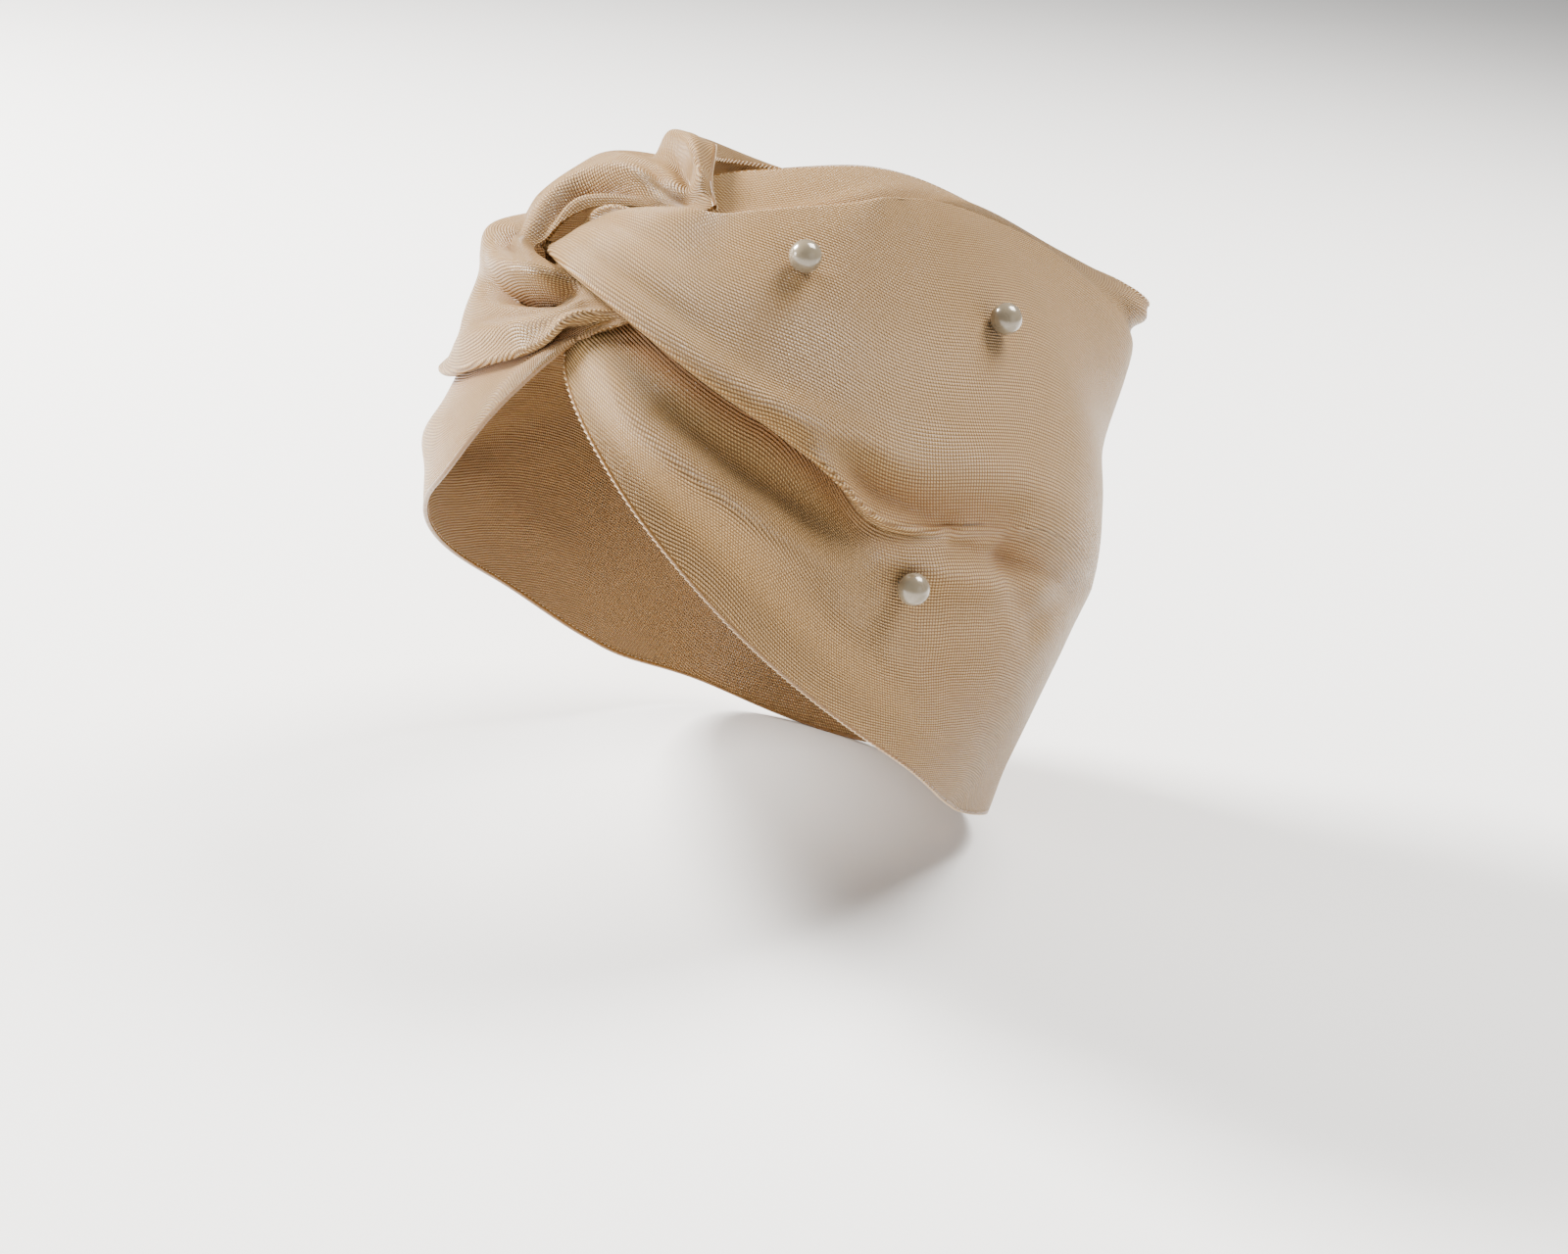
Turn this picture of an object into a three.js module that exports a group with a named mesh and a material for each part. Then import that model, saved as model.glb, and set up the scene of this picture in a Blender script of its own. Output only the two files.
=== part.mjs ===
// Twist-front turban headwrap in satin, shown in the form it takes when worn.
// Millimetres, +Z up, the knot toward -Y, the wearer's left side toward +X.
import * as THREE from "three";

// Half sizes of the hollow that the cloth is laid over
const FORM_HALF_WIDTH = 78;
const FORM_HALF_FRONT = 97;
const FORM_HALF_BACK = 82;
const FORM_HALF_HEIGHT = 92;

// Cloth and fits
const CLOTH_WALL = 1.1;
const LAYER_GAP = 0.35;
const SEAM_GAP = 0.4;
const TURN_RADIUS = (CLOTH_WALL + LAYER_GAP) / 2;
const BASE_LIFT = CLOTH_WALL / 2 + 0.25;
const FOLD_LIFT = 10;
const PLEAT_DEPTH = 10;

// Pearls
const PEARL_DIAMETER = 7.5;
const PEARL_GAP = 0.3;
const PEARL_SIDES = 12;
const PEARL_RINGS = 7;
const PEARL_REACH = 0.02;

// Steps of the cloth grid between neighbouring stations, knot to back, and in a pleat
const NEAR_STEPS = [3, 4, 4, 5, 5, 4, 4, 3];
const FAR_STEPS = [3, 3, 4, 4, 5, 4, 4, 3];
const ARC_STEPS = 4;
const FLAT_STEP = 0.2;

// Stations along each band: end under the knot, knot, brow, front, temple, side, ear,
// corner, back. A line gives its place on the form as shares of the half sizes (across,
// along, rise) and its lift above BASE_LIFT as shares of FOLD_LIFT.
const NEAR_LINES = {
  bottomHem: {
    across: [-0.2, -0.08, 0.0, 0.28, 0.61, 0.87, 0.77, 0.56, 0.0],
    along: [-0.74, -0.77, -0.86, -0.9, -0.79, -0.33, 0.04, 0.384, 0.6],
    rise: [0.66, 0.64, 0.52, 0.32, 0.04, -0.38, -0.64, -0.733, -0.798],
    lift: [0, 0, 0, 0, 0, 0.1, 0.25, 1.1, 0.9],
  },
  lowerPleat: {
    across: [-0.48, -0.37, -0.08, 0.35, 0.64, 0.84, 0.97, 0.66, 0.0],
    along: [-0.58, -0.61, -0.72, -0.74, -0.62, -0.48, 0.0, 0.734, 0.98],
    rise: [0.67, 0.7, 0.68, 0.58, 0.44, 0.26, 0.18, -0.167, -0.2],
    lift: [0, 0, 0, 0, 0, 0.12, 0, 0.1, 0.1],
  },
  upperPleat: {
    across: [-0.36, -0.14, 0.07, 0.17, 0.34, 0.38, 0.42, 0.43, 0.0],
    along: [-0.52, -0.55, -0.53, -0.47, -0.24, -0.01, 0.42, 0.82, 0.93],
    rise: [0.78, 0.83, 0.84, 0.865, 0.91, 0.93, 0.8, 0.37, 0.37],
    lift: [0.05, 0.1, 0, 0, 0, 0, 0.3, 2.45, 2.4],
  },
  topHem: {
    across: [-0.3, -0.2, -0.09, 0.05, 0.15, 0.31, 0.36, 0.365, 0.0],
    along: [-0.44, -0.45, -0.33, -0.22, -0.05, 0.37, 0.66, 0.816, 0.91],
    rise: [0.85, 0.87, 0.94, 0.97, 0.99, 0.87, 0.66, 0.449, 0.407],
    lift: [0, 0, 0, 0, 0, 0.05, 1.1, 3.3, 3.2],
  },
};

const FAR_LINES = {
  bottomHem: {
    across: [0.09, 0.02, -0.12, -0.35, -0.6, -0.87, -0.77, -0.56, 0.0],
    along: [-0.765, -0.8, -0.89, -0.92, -0.79, -0.33, 0.04, 0.384, 0.6],
    rise: [0.635, 0.6, 0.45, 0.2, 0.0, -0.38, -0.64, -0.733, -0.798],
    lift: [0.3, 0.3, 0.2, 0.2, 0.2, 0.1, 0.25, 1.1, 0.9],
  },
  lowerPleat: {
    across: [0.13, 0.04, -0.07, -0.24, -0.54, -0.84, -0.97, -0.66, 0.0],
    along: [-0.74, -0.78, -0.83, -0.86, -0.75, -0.48, 0.0, 0.734, 0.98],
    rise: [0.66, 0.62, 0.56, 0.495, 0.36, 0.26, 0.18, -0.167, -0.2],
    lift: [0.3, 0.3, 0.22, 0.18, 0.2, 0.12, 0, 0.1, 0.1],
  },
  pinch: {
    across: [-0.04, -0.09, -0.17, -0.39, -0.6, -0.8, -0.85, -0.6, 0.0],
    along: [-0.73, -0.75, -0.76, -0.71, -0.57, -0.25, 0.15, 0.76, 0.99],
    rise: [0.68, 0.66, 0.63, 0.58, 0.56, 0.54, 0.5, 0.1, 0.1],
    lift: [0.32, 0.34, 0.35, 0.6, 0.95, 0.4, 0.15, 0.35, 0.35],
  },
  lobeCrease: {
    across: [-0.38, -0.41, -0.45, -0.5, -0.57, -0.68, -0.7, -0.52, 0.0],
    along: [-0.63, -0.61, -0.58, -0.54, -0.46, -0.15, 0.25, 0.83, 0.97],
    rise: [0.68, 0.68, 0.68, 0.68, 0.68, 0.72, 0.67, 0.22, 0.22],
    lift: [0.62, 0.92, 0.93, 0.95, 1.0, 0.4, 0.15, 1.2, 1.0],
  },
  arch: {
    across: [-0.27, -0.3, -0.34, -0.42, -0.5, -0.6, -0.6, -0.48, 0.0],
    along: [-0.545, -0.52, -0.48, -0.41, -0.34, -0.02, 0.3, 0.82, 0.95],
    rise: [0.79, 0.8, 0.81, 0.81, 0.81, 0.83, 0.76, 0.3, 0.3],
    lift: [0.56, 0.9, 1.05, 1.1, 1.1, 0.4, 0.2, 1.8, 1.7],
  },
  archCrease: {
    across: [0.04, -0.01, -0.07, -0.22, -0.42, -0.52, -0.48, -0.43, 0.0],
    along: [-0.5, -0.48, -0.44, -0.36, -0.22, 0.08, 0.4, 0.82, 0.93],
    rise: [0.86, 0.88, 0.9, 0.9, 0.87, 0.85, 0.78, 0.37, 0.37],
    lift: [0.3, 0.36, 0.45, 0.5, 0.45, 0.2, 0.3, 2.45, 2.4],
  },
  topHem: {
    across: [0.08, 0.03, -0.02, -0.15, -0.4, -0.42, -0.39, -0.365, 0.0],
    along: [-0.47, -0.44, -0.4, -0.27, -0.05, 0.34, 0.65, 0.816, 0.91],
    rise: [0.88, 0.9, 0.92, 0.95, 0.915, 0.84, 0.65, 0.449, 0.407],
    lift: [0.3, 0.34, 0.4, 0.5, 0, 0.05, 1.1, 3.3, 3.2],
  },
};

// Reliefs lie between two lines, at a share of the way, and only lift the cloth
const NEAR_RELIEFS = [
  { from: "bottomHem", share: 0.22, lift: [0, 0, 0, 0.05, 0.05, 0.1, 0.1, 0.35, 0.3] },
  { from: "bottomHem", share: 0.5, lift: [0, 0, 0.02, 0.34, 0.36, 0.3, 0, -0.15, 0] },
  { from: "bottomHem", share: 0.78, lift: [0, 0, 0, 0.06, 0.05, 0.12, -0.05, -0.15, 0] },
  { from: "lowerPleat", share: 0.1, lift: [0.1, 0.36, 0.78, 0.5, 0.36, 0.3, 0, 0.1, 0.1] },
  { from: "lowerPleat", share: 0.26, lift: [0.1, 0.36, 0.72, 0.42, 0.2, 0.06, -0.05, 0.1, 0.1] },
  { from: "lowerPleat", share: 0.5, lift: [0.1, 0.4, 0.74, 0.5, 0.36, 0.2, 0, 0.3, 0.3] },
  { from: "lowerPleat", share: 0.8, lift: [0.15, 0.48, 0.78, 0.45, 0.34, 0.2, 0.15, 1.3, 1.3] },
  { from: "upperPleat", share: 0.5, lift: [0, 0, 0, 0, 0, 0.05, 0.7, 2.9, 2.85] },
];

const FAR_RELIEFS = [
  { from: "bottomHem", share: 0.25, lift: [0.3, 0.3, 0.23, 0.25, 0.25, 0.15, 0.1, 0.3, 0.25] },
  { from: "bottomHem", share: 0.6, lift: [0.3, 0.3, 0.26, 0.3, 0.3, 0.2, 0, -0.15, 0] },
  { from: "lowerPleat", share: 0.3, lift: [0.3, 0.42, 0.55, 0.62, 0.66, 0.3, 0, 0.1, 0.1] },
  { from: "lowerPleat", share: 0.7, lift: [0.3, 0.4, 0.5, 0.68, 0.8, 0.3, 0.05, 0.2, 0.2] },
  { from: "pinch", share: 0.25, lift: [0.36, 0.7, 0.95, 1.05, 1.15, 0.5, 0.2, 0.7, 0.5] },
  { from: "pinch", share: 0.6, lift: [0.5, 0.9, 1.2, 1.3, 1.4, 0.6, 0.2, 0.95, 0.8] },
  { from: "lobeCrease", share: 0.4, lift: [0.58, 0.96, 1.13, 1.15, 1.15, 0.5, 0.2, 1.5, 1.3] },
  { from: "arch", share: 0.5, lift: [0.38, 0.76, 0.98, 0.95, 0.9, 0.3, 0.2, 2.1, 2.0] },
  { from: "archCrease", share: 0.5, lift: [0.3, 0.4, 0.6, 0.85, 0.85, 0.2, 0.7, 2.9, 2.85] },
];

// Pleats: depth as shares of PLEAT_DEPTH, the inner turn as a multiple of TURN_RADIUS,
// and how far each turn bends, in degrees. Side 1 laps up the form and side -1 down it.
const NEAR_PLEATS = {
  lowerPleat: {
    side: 1,
    depth: [0.15, 0.5, 0.8, 0.8, 0.5, 0.2, 0.15, 0.15, 0.15],
    inner: [1.1, 1.3, 4.3, 1.8, 1.1, 1.1, 1.1, 1.1, 1.1],
    bend: [0, 180, 180, 180, 175, 45, 8, 0, 0],
  },
  upperPleat: {
    side: -1,
    depth: [0.15, 0.4, 0.6, 0.4, 0.3, 0.2, 0.15, 0.15, 0.15],
    inner: [1.1, 1.3, 3.6, 2.0, 1.2, 1.1, 1.1, 1.1, 1.1],
    bend: [0, 180, 180, 180, 170, 45, 0, 0, 0],
  },
};

const FAR_PLEATS = {
  lowerPleat: {
    side: 1,
    depth: [0.1, 0.2, 0.35, 0.4, 0.4, 0.25, 0.15, 0.15, 0.15],
    inner: [1.1, 1.1, 1.1, 1.1, 1.1, 1.1, 1.1, 1.1, 1.1],
    bend: [0, 60, 170, 180, 170, 45, 8, 0, 0],
  },
};

// Grid steps across each span of cloth between folds
const NEAR_SPANS = [
  { from: "bottomHem", to: "lowerPleat", steps: 9 },
  { from: "lowerPleat", to: "upperPleat", steps: 12 },
  { from: "upperPleat", to: "topHem", steps: 4 },
];

const FAR_SPANS = [
  { from: "bottomHem", to: "lowerPleat", steps: 5 },
  { from: "lowerPleat", to: "topHem", steps: 24 },
];

const NEAR_BAND = {
  hand: 1,
  lines: NEAR_LINES,
  reliefs: NEAR_RELIEFS,
  pleats: NEAR_PLEATS,
  spans: NEAR_SPANS,
  steps: NEAR_STEPS,
};

const FAR_BAND = {
  hand: -1,
  lines: FAR_LINES,
  reliefs: FAR_RELIEFS,
  pleats: FAR_PLEATS,
  spans: FAR_SPANS,
  steps: FAR_STEPS,
};

// Pearls: the line below each one, the share of the way to the next, and the station
const PEARLS = [
  { name: "near_pearl_front", band: NEAR_BAND, line: "lowerPleat", share: 0.66, station: 3.68 },
  { name: "near_pearl_back", band: NEAR_BAND, line: "lowerPleat", share: 0.55, station: 5.5 },
  { name: "near_pearl_low", band: NEAR_BAND, line: "bottomHem", share: 0.86, station: 5.12 },
  { name: "far_pearl_front", band: FAR_BAND, line: "lobeCrease", share: 0.2, station: 4.9 },
  { name: "far_pearl_back", band: FAR_BAND, line: "pinch", share: 0.8, station: 5.6 },
  { name: "far_pearl_low", band: FAR_BAND, line: "bottomHem", share: 0.86, station: 5.12 },
];

const SATIN = { color: 0xdcc09d, roughness: 0.42, metalness: 0.0 };
const PEARL = { color: 0xefe9dc, roughness: 0.22, metalness: 0.05 };

function clamp(value, low, high) {
  return Math.min(Math.max(value, low), high);
}

// Smooth curve through the values of a row, at a place counted in stations
function along(row, place) {
  const last = row.length - 1;
  const left = clamp(Math.floor(place), 0, last - 1);
  const t = place - left;
  const a = row[Math.max(left - 1, 0)];
  const b = row[left];
  const c = row[left + 1];
  const d = row[Math.min(left + 2, last)];
  const pull = (2 * a - 5 * b + 4 * c - d) * t * t;
  const turn = (3 * b - a + d - 3 * c) * t * t * t;
  return (2 * b + (c - a) * t + pull + turn) / 2;
}

// Smooth curve through unevenly spaced knots
function through(knots, at, value) {
  const last = knots.length - 1;
  let i = 0;
  while (i < last - 1 && at > knots[i + 1].at) {
    i += 1;
  }
  const slope = (j) => {
    const before = knots[Math.max(j - 1, 0)];
    const after = knots[Math.min(j + 1, last)];
    return (value(after) - value(before)) / (after.at - before.at);
  };
  const width = knots[i + 1].at - knots[i].at;
  const t = (at - knots[i].at) / width;
  const rise = t * t * (3 - 2 * t);
  const lean = t * (1 - t) * (1 - t) * width * slope(i);
  const settle = t * t * (t - 1) * width * slope(i + 1);
  return (1 - rise) * value(knots[i]) + rise * value(knots[i + 1]) + lean + settle;
}

function halfSizes(y) {
  const halfLength = y < 0 ? FORM_HALF_FRONT : FORM_HALF_BACK;
  return new THREE.Vector3(FORM_HALF_WIDTH, halfLength, FORM_HALF_HEIGHT);
}

// Point on the hollow's surface in a direction, and the outward normal there
function formPoint(direction) {
  const unit = direction.clone().normalize();
  const half = halfSizes(unit.y);
  return { point: unit.clone().multiply(half), normal: unit.divide(half).normalize() };
}

function directionOf(point) {
  return point.clone().divide(halfSizes(point.y)).normalize();
}

function clothPoint(direction, lift) {
  const base = formPoint(direction);
  return base.point.addScaledVector(base.normal, BASE_LIFT + lift * FOLD_LIFT);
}

// A pleat seen end on: a run in, a turn, a run back and a second turn
function pleatProfile(pleat, place) {
  const depth = along(pleat.depth, place) * PLEAT_DEPTH;
  const bend = THREE.MathUtils.degToRad(clamp(along(pleat.bend, place), 0, 180));
  const inner = Math.max(along(pleat.inner, place), 1) * TURN_RADIUS;
  const points = [new THREE.Vector2(0, 0)];
  const advance = (length, heading) => {
    const step = new THREE.Vector2(Math.cos(heading), Math.sin(heading));
    points.push(points[points.length - 1].clone().addScaledVector(step, length));
  };
  const turn = (radius, from, to) => {
    const swing = (to - from) / ARC_STEPS;
    const chord = Math.max(2 * radius * Math.sin(Math.abs(swing) / 2), FLAT_STEP);
    for (let i = 0; i < ARC_STEPS; i += 1) {
      advance(chord, from + swing * (i + 0.5));
    }
  };
  advance(depth, 0);
  turn(inner, 0, bend);
  advance(depth, bend);
  turn(TURN_RADIUS, bend, 0);
  return points;
}

// The same profile read from its upper end, for a pleat that laps down the form
function turnedProfile(profile) {
  const end = profile[profile.length - 1];
  return profile.map((point) => new THREE.Vector2(end.x - point.x, point.y - end.y)).reverse();
}

// Opens a line into the two edges of its pleat and the profile that joins them
function openPleat(line, pleat, next, place) {
  const profile = pleatProfile(pleat, place);
  const end = profile[profile.length - 1];
  const base = formPoint(line.below.direction);
  const across = formPoint(next).point.sub(base.point);
  across.addScaledVector(base.normal, -across.dot(base.normal)).normalize();
  const step = across.clone().multiplyScalar(end.x / 2);
  const flat = line.below.lift;
  const raised = flat + end.y / FOLD_LIFT;
  const lapsUp = pleat.side > 0;
  line.below = {
    direction: directionOf(base.point.clone().sub(step)),
    lift: lapsUp ? flat : raised,
  };
  line.above = {
    direction: directionOf(base.point.clone().add(step)),
    lift: lapsUp ? raised : flat,
  };
  line.pleat = {
    profile: lapsUp ? profile : turnedProfile(profile),
    across,
    normal: base.normal,
  };
}

// Where the lines of a band lie at one place, with its pleats opened
function layLines(band, place) {
  const names = Object.keys(band.lines);
  const laid = {};
  names.forEach((name, i) => {
    const row = band.lines[name];
    const direction = new THREE.Vector3(
      along(row.across, place),
      along(row.along, place),
      along(row.rise, place),
    ).normalize();
    const edge = { direction, lift: along(row.lift, place) };
    laid[name] = { at: i, below: edge, above: edge };
  });
  for (const [name, pleat] of Object.entries(band.pleats)) {
    const next = names[laid[name].at + 1];
    openPleat(laid[name], pleat, laid[next].below.direction, place);
  }
  return laid;
}

// The lines and reliefs that shape one span of cloth at one place
function spanKnots(band, span, laid, place) {
  const names = Object.keys(laid).slice(laid[span.from].at, laid[span.to].at + 1);
  const lines = names.map((name) => {
    const edge = name === span.from ? laid[name].above : laid[name].below;
    return { at: laid[name].at, direction: edge.direction, lift: edge.lift };
  });
  const reliefs = band.reliefs
    .filter((relief) => names.slice(0, -1).includes(relief.from))
    .map((relief) => ({
      at: laid[relief.from].at + relief.share,
      lift: along(relief.lift, place),
    }));
  const lifts = [...lines, ...reliefs].sort((a, b) => a.at - b.at);
  return { lines, lifts };
}

function spanPoint(knots, at) {
  const direction = new THREE.Vector3(
    through(knots.lines, at, (knot) => knot.direction.x),
    through(knots.lines, at, (knot) => knot.direction.y),
    through(knots.lines, at, (knot) => knot.direction.z),
  );
  return clothPoint(direction, through(knots.lifts, at, (knot) => knot.lift));
}

// The points of a pleat between the two spans that it joins, the ends left out
function pleatPoints(line) {
  const { profile, across, normal } = line.pleat;
  const start = clothPoint(line.below.direction, line.below.lift);
  const finish = clothPoint(line.above.direction, line.above.lift);
  const last = profile.length - 1;
  const place = (local) =>
    start.clone().addScaledVector(across, local.x).addScaledVector(normal, local.y);
  const slip = finish.clone().sub(place(profile[last]));
  return profile.slice(1, -1).map((local, i) => place(local).addScaledVector(slip, (i + 1) / last));
}

// Cross-section of a band at one place: a row of points from hem to hem
function crossSection(band, place) {
  const laid = layLines(band, place);
  const points = [];
  for (const span of band.spans) {
    const knots = spanKnots(band, span, laid, place);
    const first = laid[span.from].at;
    const reach = laid[span.to].at - first;
    for (let i = 0; i <= span.steps; i += 1) {
      points.push(spanPoint(knots, first + (reach * i) / span.steps));
    }
    if (laid[span.to].pleat) {
      points.push(...pleatPoints(laid[span.to]));
    }
  }
  return points;
}

// Rows of points from the knot to the back, the last one on the back seam
function clothGrid(band) {
  const rows = [];
  band.steps.forEach((count, station) => {
    for (let i = 0; i < count; i += 1) {
      rows.push(crossSection(band, station + i / count));
    }
  });
  const seam = crossSection(band, band.steps.length);
  for (const point of seam) {
    point.x = (band.hand * SEAM_GAP) / 2;
  }
  rows.push(seam);
  return rows;
}

// Outward normals of the grid, kept in the plane of the back seam along it
function gridNormals(rows, hand) {
  const last = rows.length - 1;
  const width = rows[0].length - 1;
  return rows.map((row, i) =>
    row.map((point, j) => {
      const u = rows[Math.min(i + 1, last)][j].clone().sub(rows[Math.max(i - 1, 0)][j]);
      const v = row[Math.min(j + 1, width)].clone().sub(row[Math.max(j - 1, 0)]);
      const normal = u.cross(v).multiplyScalar(hand);
      if (i === last) {
        normal.x = 0;
      }
      return normal.normalize();
    }),
  );
}

// A wall of cloth on both sides of the grid, closed along its four edges
function clothWall(band) {
  const rows = clothGrid(band);
  const normals = gridNormals(rows, band.hand);
  const width = rows[0].length;
  const back = rows.length * width;
  const positions = [];
  for (const side of [0.5, -0.5]) {
    rows.forEach((row, i) =>
      row.forEach((point, j) => {
        const face = point.clone().addScaledVector(normals[i][j], side * CLOTH_WALL);
        positions.push(face.x, face.y, face.z);
      }),
    );
  }
  const index = [];
  const quad = (a, b, c, d) => {
    const corners = band.hand > 0 ? [a, b, c, a, c, d] : [a, c, b, a, d, c];
    index.push(...corners);
  };
  const end = back - width;
  for (let a = 0; a < end; a += width) {
    for (let j = a; j < a + width - 1; j += 1) {
      quad(j, j + width, j + width + 1, j + 1);
      quad(back + j, back + j + 1, back + j + width + 1, back + j + width);
    }
    const top = a + width - 1;
    quad(a, back + a, back + a + width, a + width);
    quad(top, top + width, back + top + width, back + top);
  }
  for (let j = 0; j < width - 1; j += 1) {
    quad(j, j + 1, back + j + 1, back + j);
    quad(end + j, back + end + j, back + end + j + 1, end + j + 1);
  }
  const geometry = new THREE.BufferGeometry();
  geometry.setAttribute("position", new THREE.Float32BufferAttribute(positions, 3));
  geometry.setIndex(index);
  geometry.computeVertexNormals();
  return geometry;
}

// Point of a band's mid surface at a station and a share of the way between two lines
function bandPoint(band, line, share, station) {
  const laid = layLines(band, station);
  const at = laid[line].at + share;
  const span = band.spans.find((row) => at > laid[row.from].at && at < laid[row.to].at);
  return spanPoint(spanKnots(band, span, laid, station), at);
}

// A pearl resting on the outside of the cloth
function pearlGeometry(pearl) {
  const { band, line, share, station } = pearl;
  const seat = bandPoint(band, line, share, station);
  const u = bandPoint(band, line, share, station + PEARL_REACH).sub(seat);
  const v = bandPoint(band, line, share + PEARL_REACH, station).sub(seat);
  const normal = u.cross(v).multiplyScalar(band.hand).normalize();
  const stand = CLOTH_WALL / 2 + PEARL_GAP + PEARL_DIAMETER / 2;
  const centre = seat.addScaledVector(normal, stand);
  const geometry = new THREE.SphereGeometry(PEARL_DIAMETER / 2, PEARL_SIDES, PEARL_RINGS);
  geometry.translate(centre.x, centre.y, centre.z);
  return geometry;
}

const wrap = new THREE.Group();
wrap.name = "turban_headwrap";

function addMesh(name, geometry, finish) {
  const mesh = new THREE.Mesh(geometry, new THREE.MeshStandardMaterial(finish));
  mesh.name = name;
  wrap.add(mesh);
}

addMesh("near_band", clothWall(NEAR_BAND), SATIN);
addMesh("far_band", clothWall(FAR_BAND), SATIN);
for (const pearl of PEARLS) {
  addMesh(pearl.name, pearlGeometry(pearl), PEARL);
}

export default wrap;
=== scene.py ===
"""Looks of the twist-front turban headwrap: satin bands, rolled hems with their stitches, and pearls."""

import logging
import math
from dataclasses import dataclass, field
from enum import Enum

import bmesh
import bpy
import numpy as np
from mathutils import Matrix, Vector


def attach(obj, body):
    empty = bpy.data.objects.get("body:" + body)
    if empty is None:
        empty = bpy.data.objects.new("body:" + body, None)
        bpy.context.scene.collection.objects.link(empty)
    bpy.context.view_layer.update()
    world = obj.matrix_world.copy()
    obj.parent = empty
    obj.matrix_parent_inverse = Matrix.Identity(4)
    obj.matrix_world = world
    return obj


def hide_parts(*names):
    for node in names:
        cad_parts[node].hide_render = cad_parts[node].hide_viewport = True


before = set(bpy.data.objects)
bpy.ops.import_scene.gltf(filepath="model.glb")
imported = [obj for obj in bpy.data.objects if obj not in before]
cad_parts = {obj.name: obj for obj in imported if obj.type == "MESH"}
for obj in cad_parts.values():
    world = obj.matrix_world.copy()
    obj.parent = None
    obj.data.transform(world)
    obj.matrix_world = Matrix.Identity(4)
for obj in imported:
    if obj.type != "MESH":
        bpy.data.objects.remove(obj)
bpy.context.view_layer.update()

LOG = logging.getLogger("turban_headwrap")
MM = 0.001
LAST_STATION = 8
ROLL_STEP = 0.0012
ROLL_SIDES = 10
STITCH_SIDES = 6
STITCH_STEPS = 3
STITCH_REACH = 2.1
NODES_IN_A_ROW = 9
NODE_STEP = (190, 230)
CLOTH_MAP = "cloth"
# Name of the attribute that carries the painted shade of folds, laps and dents.
FOLD_SHADE = "crevice"
Triple = tuple[float, float, float]


def in_scene(name: str, data: bpy.types.ID) -> bpy.types.Object:
    """A new object of the scene that shows the given data.

    Args:
        name: The object's name.
        data: Its mesh, camera or light.

    Returns:
        The object.
    """
    made = bpy.data.objects.new(name, data)
    bpy.context.scene.collection.objects.link(made)
    return made


def neighbour_sum(grid: np.ndarray) -> np.ndarray:
    """Sum of each grid point's four neighbours, with the edges repeated."""
    pad = np.pad(grid, [(1, 1), (1, 1)] + [(0, 0)] * (grid.ndim - 2), mode="edge")
    return (pad[:-2, 1:-1] + pad[2:, 1:-1]) + (pad[1:-1, :-2] + pad[1:-1, 2:])


@dataclass(frozen=True)
class HollowForm:
    """The rounded hollow that the cloth is laid over, in millimetres."""

    half_width: float = 78.0
    half_front: float = 97.0
    half_back: float = 82.0
    half_height: float = 92.0

    def half_sizes(self, y: np.ndarray) -> np.ndarray:
        """Half sizes to use for points in front of or behind the middle.

        Args:
            y: Distances along the hollow, any shape.

        Returns:
            Half sizes across, along and up, in a last axis of three.
        """
        length = np.where(y < 0, self.half_front, self.half_back)
        width = np.full_like(length, self.half_width)
        return np.stack([width, length, np.full_like(length, self.half_height)], axis=-1)

    def surface(self, direction: np.ndarray) -> tuple[np.ndarray, np.ndarray]:
        """Points of the hollow's surface and the outward normals there.

        Args:
            direction: Directions as shares of the half sizes, shape (n, 3).

        Returns:
            The points and the unit normals, each of shape (n, 3).
        """
        unit = unit_rows(direction)
        half = self.half_sizes(unit[..., 1])
        return unit * half, unit_rows(unit / half)

    def direction_of(self, point: np.ndarray) -> np.ndarray:
        """Direction, as shares of the half sizes, of a point near the hollow."""
        return unit_rows(point / self.half_sizes(point[..., 1]))


@dataclass(frozen=True)
class ClothSizes:
    """Sizes of the satin and of its folds, in millimetres."""

    wall: float = 1.1
    layer_gap: float = 0.35
    seam_gap: float = 0.04
    seam_ridge: float = 0.75
    fold_lift: float = 10.0
    pleat_depth: float = 10.0
    flat_turn: float = 0.8

    @property
    def turn_radius(self) -> float:
        """Radius of the tightest turn that the cloth makes."""
        return (self.wall + self.layer_gap) / 2

    @property
    def base_lift(self) -> float:
        """Height of the cloth's middle over the hollow where it lies flat."""
        return self.wall / 2 + 0.25


class Lap(Enum):
    """Which way a pleat laps on the form."""

    UP = 1
    DOWN = -1


class Hand(Enum):
    """Side of the wearer that a band covers."""

    LEFT = 1
    RIGHT = -1


@dataclass(frozen=True)
class FoldLine:
    """A hem or fold line at the nine stations, as shares of the hollow's half sizes."""

    name: str
    across: tuple[float, ...]
    along: tuple[float, ...]
    rise: tuple[float, ...]
    lift: tuple[float, ...]


@dataclass(frozen=True)
class Relief:
    """A row between two fold lines that only lifts the cloth."""

    line: str
    share: float
    lift: tuple[float, ...]


@dataclass(frozen=True)
class Pleat:
    """A lap in the cloth along a fold line: depths, inner turns and bends in degrees."""

    line: str
    lap: Lap
    depth: tuple[float, ...]
    inner: tuple[float, ...]
    bend: tuple[float, ...]


@dataclass(frozen=True)
class Span:
    """Cloth between two folds, with its number of grid steps."""

    first: str
    last: str
    steps: int


@dataclass(frozen=True)
class Ridge:
    """A soft fold, or a dent if its heights are negative, drawn on a band's cloth.

    Stations run from the knot to the back and ats from hem to hem. Heights and the
    width are in millimetres.
    """

    name: str
    stations: tuple[float, ...]
    ats: tuple[float, ...]
    heights: tuple[float, ...]
    width: float


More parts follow.
